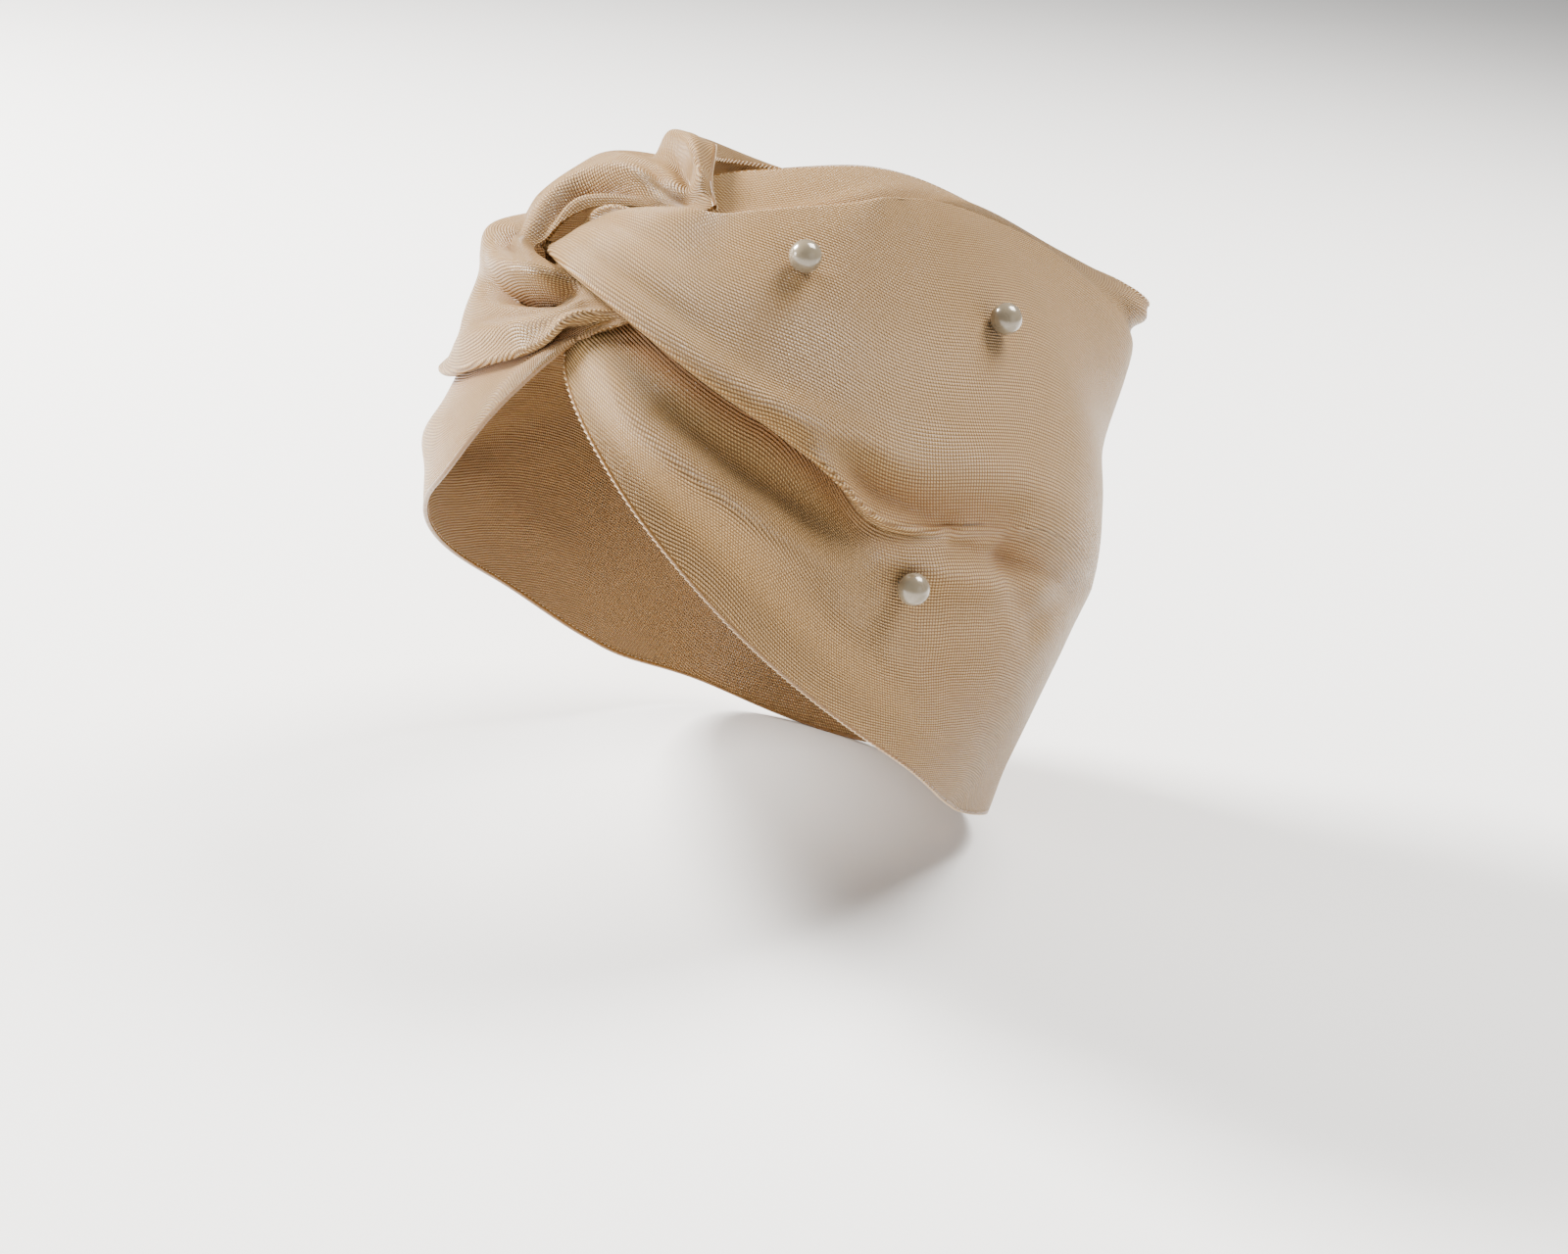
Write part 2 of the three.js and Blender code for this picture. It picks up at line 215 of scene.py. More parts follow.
def unit_rows(vectors: np.ndarray) -> np.ndarray:
    """Vectors of the last axis brought to length one."""
    return vectors / np.maximum(np.linalg.norm(vectors, axis=-1, keepdims=True), 1e-12)


def along_stations(row: np.ndarray, place: float) -> np.ndarray:
    """Smooth curve through the values of a row.

    Args:
        row: Values at the stations, in the first axis.
        place: Place along the row, counted in stations.

    Returns:
        The value there, with the row's other axes.
    """
    last = len(row) - 1
    left = int(min(max(math.floor(place), 0), last - 1))
    t = place - left
    a, b, c, d = row[max(left - 1, 0)], row[left], row[left + 1], row[min(left + 2, last)]
    pull = (2 * a - 5 * b + 4 * c - d) * t * t
    turn = (3 * b - a + d - 3 * c) * t * t * t
    return (2 * b + (c - a) * t + pull + turn) / 2


def through_knots(knots: np.ndarray, values: np.ndarray, at: np.ndarray) -> np.ndarray:
    """Smooth curve through unevenly spaced knots.

    Args:
        knots: Places of the knots, rising, shape (n,).
        values: Values at the knots, shape (n,) or (n, k).
        at: Places to read, shape (m,).

    Returns:
        The values there, shape (m,) or (m, k).
    """
    last = len(knots) - 1
    flat = values.ndim == 1
    data = values[:, None] if flat else values
    before = np.maximum(np.arange(last + 1) - 1, 0)
    after = np.minimum(np.arange(last + 1) + 1, last)
    slope = (data[after] - data[before]) / (knots[after] - knots[before])[:, None]
    i = np.clip(np.searchsorted(knots, at, side="left") - 1, 0, last - 1)
    width = (knots[i + 1] - knots[i])[:, None]
    t = ((at - knots[i])[:, None]) / width
    rise = t * t * (3 - 2 * t)
    lean = t * (1 - t) ** 2 * width * slope[i]
    settle = t * t * (t - 1) * width * slope[i + 1]
    found = (1 - rise) * data[i] + rise * data[i + 1] + lean + settle
    return found[:, 0] if flat else found


def value_at(row: tuple[float, ...], place: float) -> float:
    """Value of a table's row at a place, in stations."""
    return float(along_stations(np.array(row, float), place))


NEAR_LINES = (
    FoldLine(
        "bottomHem",
        across=(-0.2, -0.08, 0.0, 0.28, 0.61, 0.87, 0.77, 0.56, 0.0),
        along=(-0.74, -0.77, -0.86, -0.9, -0.79, -0.33, 0.04, 0.384, 0.6),
        rise=(0.66, 0.64, 0.52, 0.32, 0.04, -0.38, -0.64, -0.733, -0.798),
        lift=(0, 0, 0, 0, 0, 0.1, 0.25, 1.1, 0.9),
    ),
    FoldLine(
        "lowerPleat",
        across=(-0.48, -0.37, -0.08, 0.35, 0.64, 0.84, 0.97, 0.66, 0.0),
        along=(-0.58, -0.61, -0.72, -0.74, -0.62, -0.48, 0.0, 0.734, 0.98),
        rise=(0.67, 0.7, 0.68, 0.58, 0.44, 0.26, 0.18, -0.167, -0.2),
        lift=(0, 0, 0, 0, 0, 0.12, 0, 0.1, 0.1),
    ),
    FoldLine(
        "upperPleat",
        across=(-0.36, -0.14, 0.07, 0.17, 0.34, 0.38, 0.42, 0.43, 0.0),
        along=(-0.52, -0.55, -0.53, -0.47, -0.24, -0.01, 0.42, 0.82, 0.93),
        rise=(0.78, 0.83, 0.84, 0.865, 0.91, 0.93, 0.8, 0.37, 0.37),
        lift=(0.05, 0.1, 0, 0, 0, 0, 0.3, 2.45, 2.4),
    ),
    FoldLine(
        "topHem",
        across=(-0.3, -0.2, -0.09, 0.05, 0.15, 0.31, 0.36, 0.365, 0.0),
        along=(-0.44, -0.45, -0.33, -0.22, -0.05, 0.37, 0.66, 0.816, 0.91),
        rise=(0.85, 0.87, 0.94, 0.97, 0.99, 0.87, 0.66, 0.449, 0.407),
        lift=(0, 0, 0, 0, 0, 0.05, 1.1, 3.3, 3.2),
    ),
)

FAR_LINES = (
    FoldLine(
        "bottomHem",
        across=(0.09, 0.02, -0.12, -0.35, -0.6, -0.87, -0.77, -0.56, 0.0),
        along=(-0.765, -0.8, -0.89, -0.92, -0.79, -0.33, 0.04, 0.384, 0.6),
        rise=(0.635, 0.6, 0.45, 0.2, 0.0, -0.38, -0.64, -0.733, -0.798),
        lift=(0.3, 0.3, 0.2, 0.2, 0.2, 0.1, 0.25, 1.1, 0.9),
    ),
    FoldLine(
        "lowerPleat",
        across=(0.13, 0.04, -0.07, -0.24, -0.54, -0.84, -0.97, -0.66, 0.0),
        along=(-0.74, -0.78, -0.83, -0.86, -0.75, -0.48, 0.0, 0.734, 0.98),
        rise=(0.66, 0.62, 0.56, 0.495, 0.36, 0.26, 0.18, -0.167, -0.2),
        lift=(0.3, 0.3, 0.22, 0.18, 0.2, 0.12, 0, 0.1, 0.1),
    ),
    FoldLine(
        "pinch",
        across=(-0.04, -0.09, -0.17, -0.39, -0.6, -0.8, -0.85, -0.6, 0.0),
        along=(-0.73, -0.75, -0.76, -0.71, -0.57, -0.25, 0.15, 0.76, 0.99),
        rise=(0.68, 0.66, 0.63, 0.58, 0.56, 0.54, 0.5, 0.1, 0.1),
        lift=(0.32, 0.34, 0.35, 0.6, 0.95, 0.4, 0.15, 0.35, 0.35),
    ),
    FoldLine(
        "lobeCrease",
        across=(-0.38, -0.41, -0.45, -0.5, -0.57, -0.68, -0.7, -0.52, 0.0),
        along=(-0.63, -0.61, -0.58, -0.54, -0.46, -0.15, 0.25, 0.83, 0.97),
        rise=(0.68, 0.68, 0.68, 0.68, 0.68, 0.72, 0.67, 0.22, 0.22),
        lift=(0.62, 0.92, 0.93, 0.95, 1.0, 0.4, 0.15, 1.2, 1.0),
    ),
    FoldLine(
        "arch",
        across=(-0.27, -0.3, -0.34, -0.42, -0.5, -0.6, -0.6, -0.48, 0.0),
        along=(-0.545, -0.52, -0.48, -0.41, -0.34, -0.02, 0.3, 0.82, 0.95),
        rise=(0.79, 0.8, 0.81, 0.81, 0.81, 0.83, 0.76, 0.3, 0.3),
        lift=(0.56, 0.9, 1.05, 1.1, 1.1, 0.4, 0.2, 1.8, 1.7),
    ),
    FoldLine(
        "archCrease",
        across=(0.04, -0.01, -0.07, -0.22, -0.42, -0.52, -0.48, -0.43, 0.0),
        along=(-0.5, -0.48, -0.44, -0.36, -0.22, 0.08, 0.4, 0.82, 0.93),
        rise=(0.86, 0.88, 0.9, 0.9, 0.87, 0.85, 0.78, 0.37, 0.37),
        lift=(0.3, 0.36, 0.45, 0.5, 0.45, 0.2, 0.3, 2.45, 2.4),
    ),
    FoldLine(
        "topHem",
        across=(0.08, 0.03, -0.02, -0.15, -0.4, -0.42, -0.39, -0.365, 0.0),
        along=(-0.47, -0.44, -0.4, -0.27, -0.05, 0.34, 0.65, 0.816, 0.91),
        rise=(0.88, 0.9, 0.92, 0.95, 0.915, 0.84, 0.65, 0.449, 0.407),
        lift=(0.3, 0.34, 0.4, 0.5, 0, 0.05, 1.1, 3.3, 3.2),
    ),
)

NEAR_RELIEFS = (
    Relief("bottomHem", 0.22, (0, 0, 0, 0.05, 0.05, 0.1, 0.1, 0.35, 0.3)),
    Relief("bottomHem", 0.5, (0, 0, 0.02, 0.34, 0.36, 0.3, 0, -0.15, 0)),
    Relief("bottomHem", 0.78, (0, 0, 0, 0.06, 0.05, 0.12, -0.05, -0.15, 0)),
    Relief("lowerPleat", 0.1, (0.1, 0.36, 0.78, 0.5, 0.36, 0.3, 0, 0.1, 0.1)),
    Relief("lowerPleat", 0.26, (0.1, 0.36, 0.72, 0.42, 0.2, 0.06, -0.05, 0.1, 0.1)),
    Relief("lowerPleat", 0.5, (0.1, 0.4, 0.74, 0.5, 0.36, 0.2, 0, 0.3, 0.3)),
    Relief("lowerPleat", 0.8, (0.15, 0.48, 0.78, 0.45, 0.34, 0.2, 0.15, 1.3, 1.3)),
    Relief("upperPleat", 0.5, (0, 0, 0, 0, 0, 0.05, 0.7, 2.9, 2.85)),
)

FAR_RELIEFS = (
    Relief("bottomHem", 0.25, (0.3, 0.3, 0.23, 0.25, 0.25, 0.15, 0.1, 0.3, 0.25)),
    Relief("bottomHem", 0.6, (0.3, 0.3, 0.26, 0.3, 0.3, 0.2, 0, -0.15, 0)),
    Relief("lowerPleat", 0.3, (0.3, 0.42, 0.55, 0.62, 0.66, 0.3, 0, 0.1, 0.1)),
    Relief("lowerPleat", 0.7, (0.3, 0.4, 0.5, 0.68, 0.8, 0.3, 0.05, 0.2, 0.2)),
    Relief("pinch", 0.25, (0.36, 0.7, 0.95, 1.05, 1.15, 0.5, 0.2, 0.7, 0.5)),
    Relief("pinch", 0.6, (0.5, 0.9, 1.2, 1.3, 1.4, 0.6, 0.2, 0.95, 0.8)),
    Relief("lobeCrease", 0.4, (0.58, 0.96, 1.13, 1.15, 1.15, 0.5, 0.2, 1.5, 1.3)),
    Relief("arch", 0.5, (0.38, 0.76, 0.98, 0.95, 0.9, 0.3, 0.2, 2.1, 2.0)),
    Relief("archCrease", 0.5, (0.3, 0.4, 0.6, 0.85, 0.85, 0.2, 0.7, 2.9, 2.85)),
)

NEAR_PLEATS = (
    Pleat(
        "lowerPleat",
        Lap.UP,
        depth=(0.15, 0.5, 0.8, 0.8, 0.5, 0.2, 0.15, 0.15, 0.15),
        inner=(1.1, 1.3, 4.3, 1.8, 1.1, 1.1, 1.1, 1.1, 1.1),
        bend=(0, 180, 180, 180, 175, 45, 8, 0, 0),
    ),
    Pleat(
        "upperPleat",
        Lap.DOWN,
        depth=(0.15, 0.4, 0.6, 0.4, 0.3, 0.2, 0.15, 0.15, 0.15),
        inner=(1.1, 1.3, 3.6, 2.0, 1.2, 1.1, 1.1, 1.1, 1.1),
        bend=(0, 180, 180, 180, 170, 45, 0, 0, 0),
    ),
)

FAR_PLEATS = (
    Pleat(
        "lowerPleat",
        Lap.UP,
        depth=(0.1, 0.2, 0.35, 0.4, 0.4, 0.25, 0.15, 0.15, 0.15),
        inner=(1.1, 1.1, 1.1, 1.1, 1.1, 1.1, 1.1, 1.1, 1.1),
        bend=(0, 60, 170, 180, 170, 45, 8, 0, 0),
    ),
)

NEAR_SPANS = (
    Span("bottomHem", "lowerPleat", 48),
    Span("lowerPleat", "upperPleat", 64),
    Span("upperPleat", "topHem", 22),
)

FAR_SPANS = (
    Span("bottomHem", "lowerPleat", 30),
    Span("lowerPleat", "topHem", 130),
)

NEAR_RIDGES = (
    Ridge(
        "lower_panel_ridge", (2.19, 2.62, 2.94, 3.47, 4.0, 4.47, 4.85),
        (0.56, 0.46, 0.41, 0.47, 0.55, 0.72, 0.86), (1.0, 2.2, 3.2, 3.6, 3.2, 2.2, 0.8), 5.5,
    ),
    Ridge(
        "ridge_shade", (2.9, 3.18, 3.59, 4.05, 4.6), (0.56, 0.62, 0.66, 0.74, 0.9),
        (-0.6, -2.2, -2.8, -2.4, -0.8), 4.5,
    ),
    Ridge(
        "second_roll", (3.5, 3.73, 4.15, 4.75, 5.3), (1.05, 1.06, 1.12, 1.17, 1.13),
        (0.4, 1.6, 2.2, 1.6, 0.3), 4.0,
    ),
    Ridge(
        "broad_valley", (4.05, 4.61, 5.09, 5.54, 6.0, 6.5), (1.03, 1.06, 1.08, 1.03, 0.97, 0.95),
        (-0.8, -2.6, -3.2, -2.8, -2.0, -0.6), 7.0,
    ),
    Ridge(
        "thin_crease", (4.56, 5.01, 5.41, 5.77, 6.1, 6.5), (1.05, 1.06, 1.01, 0.95, 0.93, 0.95),
        (-0.6, -1.4, -1.6, -1.6, -1.4, -0.3), 1.8,
    ),
    Ridge("crease_lip", (4.9, 5.3, 5.7, 6.05), (0.94, 0.91, 0.86, 0.86), (0.3, 1.5, 1.5, 0.3), 3.0),
    Ridge("corner_dent", (5.8, 5.91, 6.08), (0.94, 0.83, 0.74), (-1.2, -1.6, -0.8), 4.5),
    Ridge(
        "upper_ridge", (4.1, 4.6, 5.1, 5.55, 6.0, 6.5), (1.2, 1.25, 1.26, 1.2, 1.12, 1.08),
        (0.3, 1.4, 1.8, 1.6, 1.2, 0.3), 7.0,
    ),
    Ridge(
        "upper_panel_roll", (1.3, 1.73, 2.2, 2.58, 3.06, 3.74, 4.2, 4.55),
        (1.02, 1.03, 1.05, 1.05, 1.05, 1.04, 1.02, 1.02), (0.2, 1.0, 1.3, 1.4, 1.4, 1.4, 1.0, 0.2), 4.0,
    ),
    Ridge(
        "roll_shade", (1.6, 2.2, 2.6, 3.1, 3.7), (1.16, 1.17, 1.17, 1.15, 1.14),
        (-0.3, -0.9, -1.0, -0.9, -0.3), 4.0,
    ),
    Ridge("knot_pucker_one", (1.1, 1.7, 2.4, 3.1), (1.35, 1.33, 1.32, 1.34), (0.4, 1.0, 0.9, 0.1), 3.5),
    Ridge("knot_pucker_two", (1.1, 1.6, 2.2, 2.8), (1.62, 1.58, 1.55, 1.55), (-0.4, -0.9, -0.7, -0.1), 3.0),
    Ridge("back_fill", (6.2, 6.7, 7.2, 7.7), (1.75, 1.8, 1.8, 1.8), (0.3, 2.8, 2.6, 0.3), 9.0),
    Ridge("corner_lip_ease", (6.6, 7.0, 7.5), (2.95, 2.95, 2.95), (-0.5, -1.8, -0.6), 4.0),
    Ridge("corner_ease", (7.1, 7.5, 8.0), (2.6, 2.6, 2.6), (-1.0, -2.4, -2.6), 7.0),
    Ridge(
        "strip_crease", (2.4, 2.9, 3.42, 4.02, 4.67), (2.3, 2.12, 2.06, 2.23, 2.55),
        (0.3, 0.9, 0.9, 0.8, 0.2), 3.0,
    ),
    Ridge(
        "low_roll", (2.6, 2.99, 3.58, 4.09, 4.54, 5.09), (0.2, 0.19, 0.18, 0.23, 0.25, 0.22),
        (-0.2, -0.8, -0.9, -0.8, -0.6, -0.2), 5.0,
    ),
    Ridge("low_dent", (4.84, 5.3, 5.84, 6.32), (0.57, 0.52, 0.38, 0.23), (-0.4, -1.2, -1.2, -0.4), 7.0),
    Ridge("back_dent", (6.54, 6.23, 6.0), (0.97, 0.83, 0.7), (-0.6, -1.2, -0.5), 5.0),
    Ridge("front_pearl_dimple", (3.66, 3.7), (1.66, 1.66), (-0.9, -0.9), 6.0),
    Ridge("back_pearl_dimple", (5.48, 5.52), (1.55, 1.55), (-0.9, -0.9), 6.0),
    Ridge("low_pearl_dimple", (5.1, 5.14), (0.86, 0.86), (-0.7, -0.7), 5.0),
)

FAR_RIDGES = (
    Ridge(
        "pinch_crease", (0.7, 1.48, 2.25, 2.64, 3.0, 3.3), (2.1, 2.09, 2.03, 2.03, 2.08, 2.1),
        (-1.5, -3.2, -5.2, -5.2, -3.4, -1.5), 2.3,
    ),
    Ridge(
        "pinch_lip", (0.7, 1.34, 2.22, 2.55, 2.98), (2.26, 2.24, 2.22, 2.26, 2.34),
        (0.6, 1.6, 2.4, 2.2, 0.8), 2.2,
    ),
    Ridge(
        "lobe_split", (1.9, 2.2, 2.49, 2.87, 3.2), (2.4, 2.52, 2.6, 2.8, 2.9),
        (-0.4, -2.4, -3.2, -3.2, -0.8), 2.2,
    ),
    Ridge(
        "arch_valley", (0.35, 0.8, 1.24, 1.13, 0.91, 0.64), (3.3, 3.6, 3.87, 4.16, 4.42, 4.57),
        (-1.2, -2.8, -3.8, -3.8, -3.0, -1.2), 2.3,
    ),
    Ridge(
        "arch_outer_fold", (0.9, 1.6, 2.0, 2.0, 1.6, 1.0, 0.5), (3.4, 3.6, 3.85, 4.1, 4.4, 4.65, 4.75),
        (0.4, 1.2, 1.6, 1.6, 1.6, 1.4, 0.4), 2.8,
    ),
    Ridge("arch_inner_fold", (0.36, 0.42, 0.48, 0.52), (3.4, 3.7, 4.05, 4.38), (0.3, 1.2, 1.2, 0.3), 2.2),
    Ridge(
        "under_lap_roll", (1.3, 1.47, 1.81, 2.07, 2.5, 3.1), (0.9, 0.8, 0.5, 0.3, 0.2, 0.2),
        (0.3, 0.9, 1.2, 1.1, 0.8, 0.2), 3.5,
    ),
    Ridge(
        "upper_lap_fold", (0.9, 1.3, 1.73, 2.44, 3.18, 3.96), (1.7, 1.58, 1.49, 1.35, 1.3, 1.2),
        (0.3, 1.2, 1.8, 1.9, 1.6, 0.4), 3.0,
    ),
    Ridge(
        "upper_lap_shade", (0.9, 1.5, 2.2, 3.0, 3.7), (1.8, 1.75, 1.64, 1.56, 1.48),
        (-0.2, -1.2, -1.6, -1.4, -0.3), 2.6,
    ),
    Ridge("top_lobe_fold", (3.17, 2.5, 1.71, 0.9), (5.6, 5.56, 5.5, 5.3), (0.4, 1.6, 1.6, 0.4), 2.6),
    Ridge(
        "top_lobe_crease", (2.6, 2.22, 1.4, 0.88, 0.75), (4.5, 4.66, 4.72, 4.88, 5.1),
        (-0.8, -2.2, -2.6, -2.4, -0.8), 2.4,
    ),
    Ridge("top_lobe_valley", (3.4, 2.8, 2.1, 1.5), (5.25, 5.2, 5.12, 5.06), (-0.3, -1.6, -1.8, -0.5), 3.0),
    Ridge(
        "side_ridge", (3.6, 4.3, 5.0, 5.7, 6.3), (0.55, 0.6, 0.68, 0.8, 0.9), (0.5, 2.4, 2.8, 1.8, 0.4),
        5.5,
    ),
    Ridge(
        "side_valley", (3.8, 4.5, 5.2, 6.0, 6.6), (1.3, 1.22, 1.15, 1.06, 1.0),
        (-0.6, -2.6, -3.2, -2.4, -0.6), 5.5,
    ),
    Ridge(
        "side_upper_fold", (3.6, 4.3, 5.0, 5.8, 6.5), (2.3, 2.2, 2.1, 2.0, 1.9), (0.5, 2.0, 2.2, 1.4, 0.3),
        5.5,
    ),
    Ridge("crown_fold", (3.6, 4.2, 4.9, 5.6), (4.3, 4.2, 4.1, 4.0), (0.3, 1.2, 1.2, 0.3), 5.0),
    Ridge("far_corner_ease", (7.1, 7.5, 8.0), (5.6, 5.6, 5.6), (-1.0, -2.4, -2.6), 7.0),
    Ridge("side_back_dent", (6.5, 6.2, 5.9), (1.1, 0.9, 0.7), (-0.5, -1.2, -0.5), 5.0),
    Ridge("far_low_dent", (4.84, 5.3, 5.84, 6.32), (0.57, 0.45, 0.35, 0.23), (-0.3, -1.0, -1.0, -0.3), 7.0),
)


@dataclass(frozen=True)
class EasedPatch:
    """A stretch of cloth where a lap has run out: its middle, its reach and how it is evened."""

    station: float
    at: float
    reach_stations: float
    reach_at: float
    passes: int = 120
    pull: float = 0.9


NEAR_EASED = EasedPatch(station=7.0, at=1.95, reach_stations=0.85, reach_at=0.5)
FAR_EASED = EasedPatch(station=7.0, at=4.4, reach_stations=0.85, reach_at=2.2)


@dataclass(frozen=True)
class PearlSeat:
    """Where a pearl sits: the fold line below, the share of the way up and the station."""

    name: str
    line: str
    share: float
    station: float


@dataclass(frozen=True)
class SatinFinish:
    """Colours, gloss and weave of the satin, with a painted highlight colour for the weave dots and a painted
    shade colour for folds and dents: the pitch is in millimetres, the heights in metres.
    """

    name: str = "champagne_satin"
    face: Triple = (0.22, 0.108, 0.028)
    shade: Triple = (0.175, 0.084, 0.02)
    # Painted highlight: pale colour laid on the weave dots.
    glint: Triple = (0.74, 0.49, 0.225)
    # Painted shade: a darker, warmer colour laid into creases, under laps and into dents.
    crevice: Triple = (0.24, 0.092, 0.02)
    roughness: float = 0.36
    weave_pitch: float = 0.8
    weave_height: float = 0.00035
    weave_strength: float = 0.8
    dot_share: float = 0.8
    crevice_shade_share: float = 0.7
    dot_gloss: float = -0.16
    slub_gloss: float = 0.12
    specular: float = 0.4
    anisotropic: float = 0.45
    sheen: float = 0.06
    sheen_roughness: float = 0.4
    sheen_tint: Triple = (1.0, 0.82, 0.6)
    cloud_scale: float = 22.0
    rib_scale: float = 620.0
    rib_gloss: float = -0.15
    rib_height: float = 0.0003
    rib_strength: float = 0.5


@dataclass(frozen=True)
class PearlFinish:
    """Colours and gloss of the pearls, with a painted shade at their rim."""

    body: Triple = (0.34, 0.29, 0.195)
    blush_and_rim_shade: Triple = (0.16, 0.12, 0.075)
    roughness: float = 0.2
    mottle_scale: float = 190.0
    mottle_gloss: float = 0.12
    mottle_height: float = 0.0001
    mottle_strength: float = 0.12
    rim_shade_blend: float = 0.35
    rim_shade_share: float = 0.85
    metallic: float = 0.12
    coat_roughness: float = 0.12


@dataclass(frozen=True)
class ThreadFinish:
    """Colour and gloss of the sewing thread."""

    face: Triple = (0.82, 0.62, 0.4)
    dark_share: float = 0.8
    roughness: float = 0.5
    twist_scale: float = 900.0
    twist_gloss: float = 0.2


class NodeTree:
    """A small helper that lays out the nodes and wires of one tree."""

    def __init__(self, tree: bpy.types.NodeTree) -> None:
        """Keeps the tree.

        Args:
            tree: A shader or geometry node tree.
        """
        self.tree = tree
        self.count = 0

    def fill(self, node: bpy.types.Node, values: dict) -> None:
        """Puts values into a node's inputs, by their names or numbers."""
        for key, value in values.items():
            self.put(node.inputs[key], value)

    def put(self, socket: bpy.types.NodeSocket, value: object) -> None:
        """Wires an input to an output, or sets its plain value.

        Args:
            socket: The input.
            value: An output socket, a number, a vector or a colour.
        """
        if isinstance(value, bpy.types.NodeSocket):
            self.tree.links.new(value, socket)
        elif socket.type == "RGBA":
            socket.default_value = (*value, 1.0)
        else:
            socket.default_value = value

    def add(self, kind: str, values: dict | None = None, **settings: object) -> bpy.types.Node:
        """Adds a node, sets its properties and fills its inputs.

        Args:
            kind: The node's type name.
            values: What goes into its inputs, by their names or numbers.
            **settings: Properties of the node.

        Returns:
            The new node.
        """
        node = self.tree.nodes.new(kind)
        row, column = divmod(self.count, NODES_IN_A_ROW)
        node.location = (column * NODE_STEP[0], -row * NODE_STEP[1])
        self.count += 1
        for key, value in settings.items():
            setattr(node, key, value)
        self.fill(node, values or {})
        return node

    def math(self, operation: str, *values: object) -> bpy.types.NodeSocket:
        """A math node on numbers or sockets.

        Args:
            operation: The operation's name.
            *values: Numbers or sockets, in order.

        Returns:
            The node's output.
        """
        return self.add("ShaderNodeMath", dict(enumerate(values)), operation=operation).outputs[0]

    def mix(self, factor: object, a: object, b: object) -> bpy.types.NodeSocket:
        """Mixes two colours.

        Args:
            factor: Number or socket, 0 to 1.
            a: First colour or socket.
            b: Second colour or socket.

        Returns:
            The colour output.
        """
        return self.add("ShaderNodeMix", {0: factor, 6: a, 7: b}, data_type="RGBA").outputs[2]

    def noise(self, place: bpy.types.NodeSocket, scale: float, detail: float = 2.0) -> bpy.types.NodeSocket:
        """A cloudy value.

        Args:
            place: Where it is read.
            scale: How fine it is.
            detail: How rough it is.

        Returns:
            The value, 0 to 1.
        """
        return self.add("ShaderNodeTexNoise", {"Vector": place, "Scale": scale, "Detail": detail}).outputs[0]

    def bump(self, height: bpy.types.NodeSocket, strength: float, distance: float) -> bpy.types.NodeSocket:
        """A normal roughened by a height.

        Args:
            height: The height, 0 to 1.
            strength: Share of the effect.
            distance: Height of one, in metres.

        Returns:
            The normal.
        """
        values = {"Height": height, "Strength": strength, "Distance": distance}
        return self.add("ShaderNodeBump", values).outputs[0]


@dataclass
class WeaveEffect:
    """Shader group of the satin's weave: dotted rows that follow the cloth."""

    warp_scale: float = 40.0
    sway: float = 0.0007
    slant: float = 0.5
    dot_gain: float = 1.35
    dot_soften: float = 0.2
    slub_scale: float = 260.0
    slub_stretch: Triple = (0.25, 1.0, 1.0)
    row_height: float = 0.35
    dot_height: float = 0.9
    slub_height: float = 0.5

    def __post_init__(self) -> None:
        """Builds the group once."""
        self.group = bpy.data.node_groups.new("satin_weave", "ShaderNodeTree")
        face = self.group.interface
        face.new_socket("Cloth UV", in_out="INPUT", socket_type="NodeSocketVector")
        face.new_socket("Pitch", in_out="INPUT", socket_type="NodeSocketFloat")
        for label in ("Dots", "Slub", "Height"):
            face.new_socket(label, in_out="OUTPUT", socket_type="NodeSocketFloat")
        net = NodeTree(self.group)
        start = net.add("NodeGroupInput").outputs
        split = net.add("ShaderNodeSeparateXYZ", {0: start["Cloth UV"]}).outputs
        warp = net.noise(start["Cloth UV"], self.warp_scale, 1.0)
        sway = net.math("MULTIPLY", net.math("SUBTRACT", warp, 0.5), self.sway)
        turn = net.math("DIVIDE", 2 * math.pi / MM, start["Pitch"])
        u = net.math("ADD", split[0], sway)
        v = net.math("ADD", split[1], sway)
        slant = net.math("ADD", u, net.math("MULTIPLY", v, self.slant))
        rows = net.math("SINE", net.math("MULTIPLY", v, turn))
        picks = net.math("SINE", net.math("MULTIPLY", slant, turn))
        halves = [net.math("MULTIPLY_ADD", wave, 0.5, 0.5) for wave in (rows, picks)]
        dots = net.math("MULTIPLY", net.math("MULTIPLY", *halves), self.dot_gain)
        dots = net.math("SMOOTH_MIN", dots, 1.0, self.dot_soften)
        stretch = net.add("ShaderNodeMapping", {"Vector": start["Cloth UV"], "Scale": self.slub_stretch})
        slub = net.noise(stretch.outputs[0], self.slub_scale)
        rib = net.math("MULTIPLY_ADD", rows, self.row_height, net.math("MULTIPLY", dots, self.dot_height))
        height = net.math("ADD", rib, net.math("MULTIPLY", slub, self.slub_height))
        net.add("NodeGroupOutput", {"Dots": dots, "Slub": slub, "Height": height})


